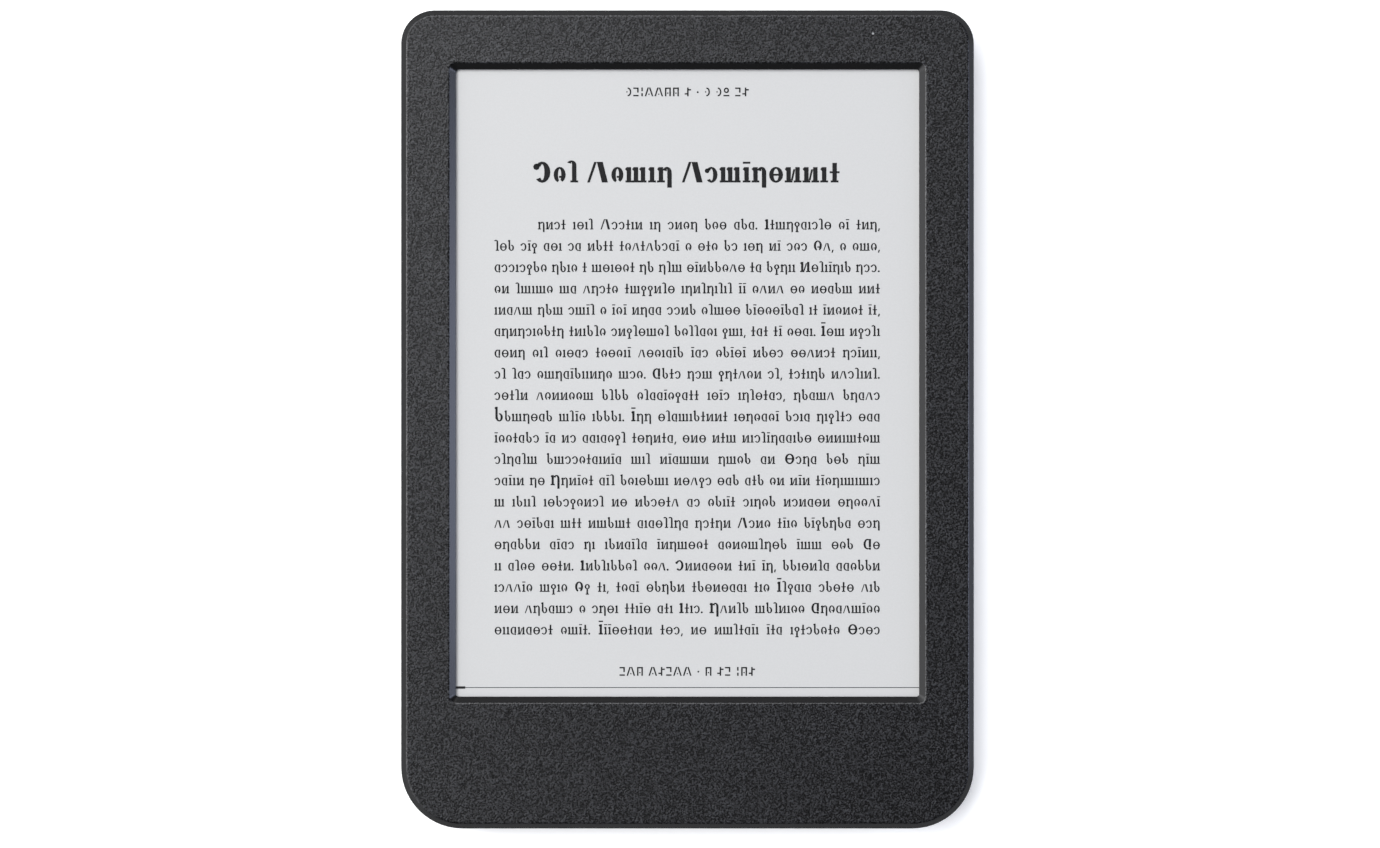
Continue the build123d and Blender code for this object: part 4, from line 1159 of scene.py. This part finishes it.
class READER_OT_stage(bpy.types.Operator):
    """Makes the floor, the lights and the camera over the reader."""

    bl_idname = "reader.stage"
    bl_label = "Floor, lights and camera"

    def execute(self, context):
        stage = context.scene.reader_stage
        scene = context.scene
        low, high = CAD_BOX
        middle = (low + high) / 2
        self.make_floor(stage, low.z)
        self.make_sky(scene, stage)
        self.make_lamp("key_lamp", middle, KEY_PLACE, KEY_SIZE, WHITE, stage.lamp)
        self.make_lamp("left_lamp", middle, LEFT_PLACE, LEFT_SIZE, WHITE, stage.left_lamp)
        self.make_lamp("right_lamp", middle, RIGHT_PLACE, RIGHT_SIZE, stage.cool, stage.right_lamp)
        camera = bpy.data.objects.new("camera", bpy.data.cameras.new("camera"))
        scene.collection.objects.link(camera)
        camera.data.lens = stage.lens
        reach = stage.frame_width * stage.lens / camera.data.sensor_width
        camera.location = (middle.x + stage.aim_right, middle.y - stage.aim_down, high.z + reach)
        scene.camera = camera
        scene.view_settings.view_transform = "Standard"
        return {"FINISHED"}

    def make_floor(self, stage, height):
        """Wide matte floor just under the back, white to the eye and dimmer in what it throws back."""
        half = FLOOR_WIDTH / 2
        mesh = bpy.data.meshes.new("floor")
        corners = [(-half, -half), (half, -half), (half, half), (-half, half)]
        mesh.from_pydata([(x, y, height - FLOOR_GAP) for x, y in corners], [], [(0, 1, 2, 3)])
        material, tree = new_material("floor_paper_matte")
        place = add_node(tree, "ShaderNodeTexCoord").outputs["Object"]
        fibres = add_node(
            tree, "ShaderNodeTexNoise", {"Scale": per_metre(FIBRE_WIDTH)}, {"Vector": place}
        ).outputs[0]
        darker = [channel * FIBRE_SHADE for channel in stage.floor]
        dimmer = [channel * FLOOR_BOUNCE for channel in stage.floor]
        seen = add_node(tree, "ShaderNodeLightPath").outputs["Is Camera Ray"]
        paper = add_node(
            tree,
            "ShaderNodeMix",
            {"data_type": "RGBA", MIX_A: rgba(dimmer)},
            {0: seen, MIX_B: blended(tree, fibres, darker, stage.floor)},
        )
        glow = ranged(tree, seen, 0, 1, 0, stage.glow)
        finish = {"Roughness": 0.9, "Specular IOR Level": 0.1, "Emission Color": rgba(stage.floor)}
        close_surface(tree, finish, {"Base Color": paper.outputs[MIX_COLOUR], "Emission Strength": glow})
        mesh.materials.append(material)
        floor = bpy.data.objects.new("floor", mesh)
        bpy.context.scene.collection.objects.link(floor)

    def make_sky(self, scene, stage):
        """Soft dome: bright high on the key side, weaker low down, and pale to the eye."""
        world = bpy.data.worlds.new("studio")
        world.use_nodes = True
        tree = world.node_tree
        tree.nodes.clear()
        way = add_node(tree, "ShaderNodeTexCoord").outputs["Generated"]
        toward = Vector(stage.key_way).normalized()
        side = add_node(
            tree, "ShaderNodeVectorMath", {"operation": "DOT_PRODUCT", 1: toward}, {0: way}
        ).outputs["Value"]
        axes = add_node(tree, "ShaderNodeSeparateXYZ", links={"Vector": way}).outputs
        height = axes["Z"]
        near_key = ranged(tree, side, stage.key_from, stage.key_to)
        above = ranged(tree, height, *KEY_HEIGHTS)
        key = add_node(
            tree, "ShaderNodeMath", {"operation": "MULTIPLY"}, {0: near_key, 1: above}
        ).outputs[0]
        parts = [
            ranged(tree, key, 0, 1, 0, stage.key),
            ranged(tree, axes["X"], *LEFT_FILL_ACROSS, 0, stage.fill_left),
            ranged(tree, height, *LOW_FILL_HEIGHTS, stage.sky, stage.fill_low),
        ]
        power = parts[0]
        for part in parts[1:]:
            power = add_node(tree, "ShaderNodeMath", {"operation": "ADD"}, {0: power, 1: part}).outputs[0]
        lit = add_node(tree, "ShaderNodeBackground", {"Color": rgba(stage.sky_colour)}, {"Strength": power})
        seen = add_node(tree, "ShaderNodeBackground", {"Color": rgba(stage.floor), "Strength": 1.0})
        ray = add_node(tree, "ShaderNodeLightPath").outputs["Is Camera Ray"]
        both = add_node(
            tree, "ShaderNodeMixShader", links={0: ray, 1: lit.outputs[0], 2: seen.outputs[0]}
        )
        add_node(tree, "ShaderNodeOutputWorld", links={"Surface": both.outputs[0]})
        scene.world = world

    def make_lamp(self, name, middle, place, size, colour, power):
        """Soft rectangular lamp that faces the reader from a place about its middle."""
        light = bpy.data.lights.new(name, "AREA")
        light.shape = "RECTANGLE"
        light.size, light.size_y = size
        light.color = colour
        light.energy = power
        lamp = bpy.data.objects.new(name, light)
        lamp.location = middle + Vector(place)
        lamp.rotation_euler = (middle - lamp.location).to_track_quat("-Z", "Y").to_euler()
        bpy.context.scene.collection.objects.link(lamp)


class READER_PT_panel(bpy.types.Panel):
    """Lists the steps that finish the reader."""

    bl_label = "E-reader"
    bl_idname = "READER_PT_panel"
    bl_space_type = "VIEW_3D"
    bl_region_type = "UI"
    bl_category = "E-reader"

    def draw(self, context):
        for operator in OPERATORS:
            self.layout.operator(operator.bl_idname)
        for group in SETTINGS:
            settings = getattr(context.scene, group)
            box = self.layout.box()
            for name in settings.__annotations__:
                box.prop(settings, name)


SETTINGS = {
    "reader_shell": ReaderShellSettings,
    "reader_page": ReaderPageSettings,
    "reader_stage": ReaderStageSettings,
}
OPERATORS = [
    READER_OT_shells,
    READER_OT_screen,
    READER_OT_page,
    READER_OT_controls,
    READER_OT_electronics,
    READER_OT_metalwork,
    READER_OT_stage,
]
CLASSES = [*SETTINGS.values(), *OPERATORS, READER_PT_panel]


def register():
    for made in CLASSES:
        bpy.utils.register_class(made)
    for name, group in SETTINGS.items():
        setattr(bpy.types.Scene, name, bpy.props.PointerProperty(type=group))


def unregister():
    for name in SETTINGS:
        delattr(bpy.types.Scene, name)
    for made in reversed(CLASSES):
        bpy.utils.unregister_class(made)


def main():
    register()
    bpy.ops.reader.shells()
    bpy.ops.reader.screen()
    bpy.ops.reader.page()
    bpy.ops.reader.controls()
    bpy.ops.reader.electronics()
    bpy.ops.reader.metalwork()
    bpy.ops.reader.stage()


if __name__ == "__main__":
    main()
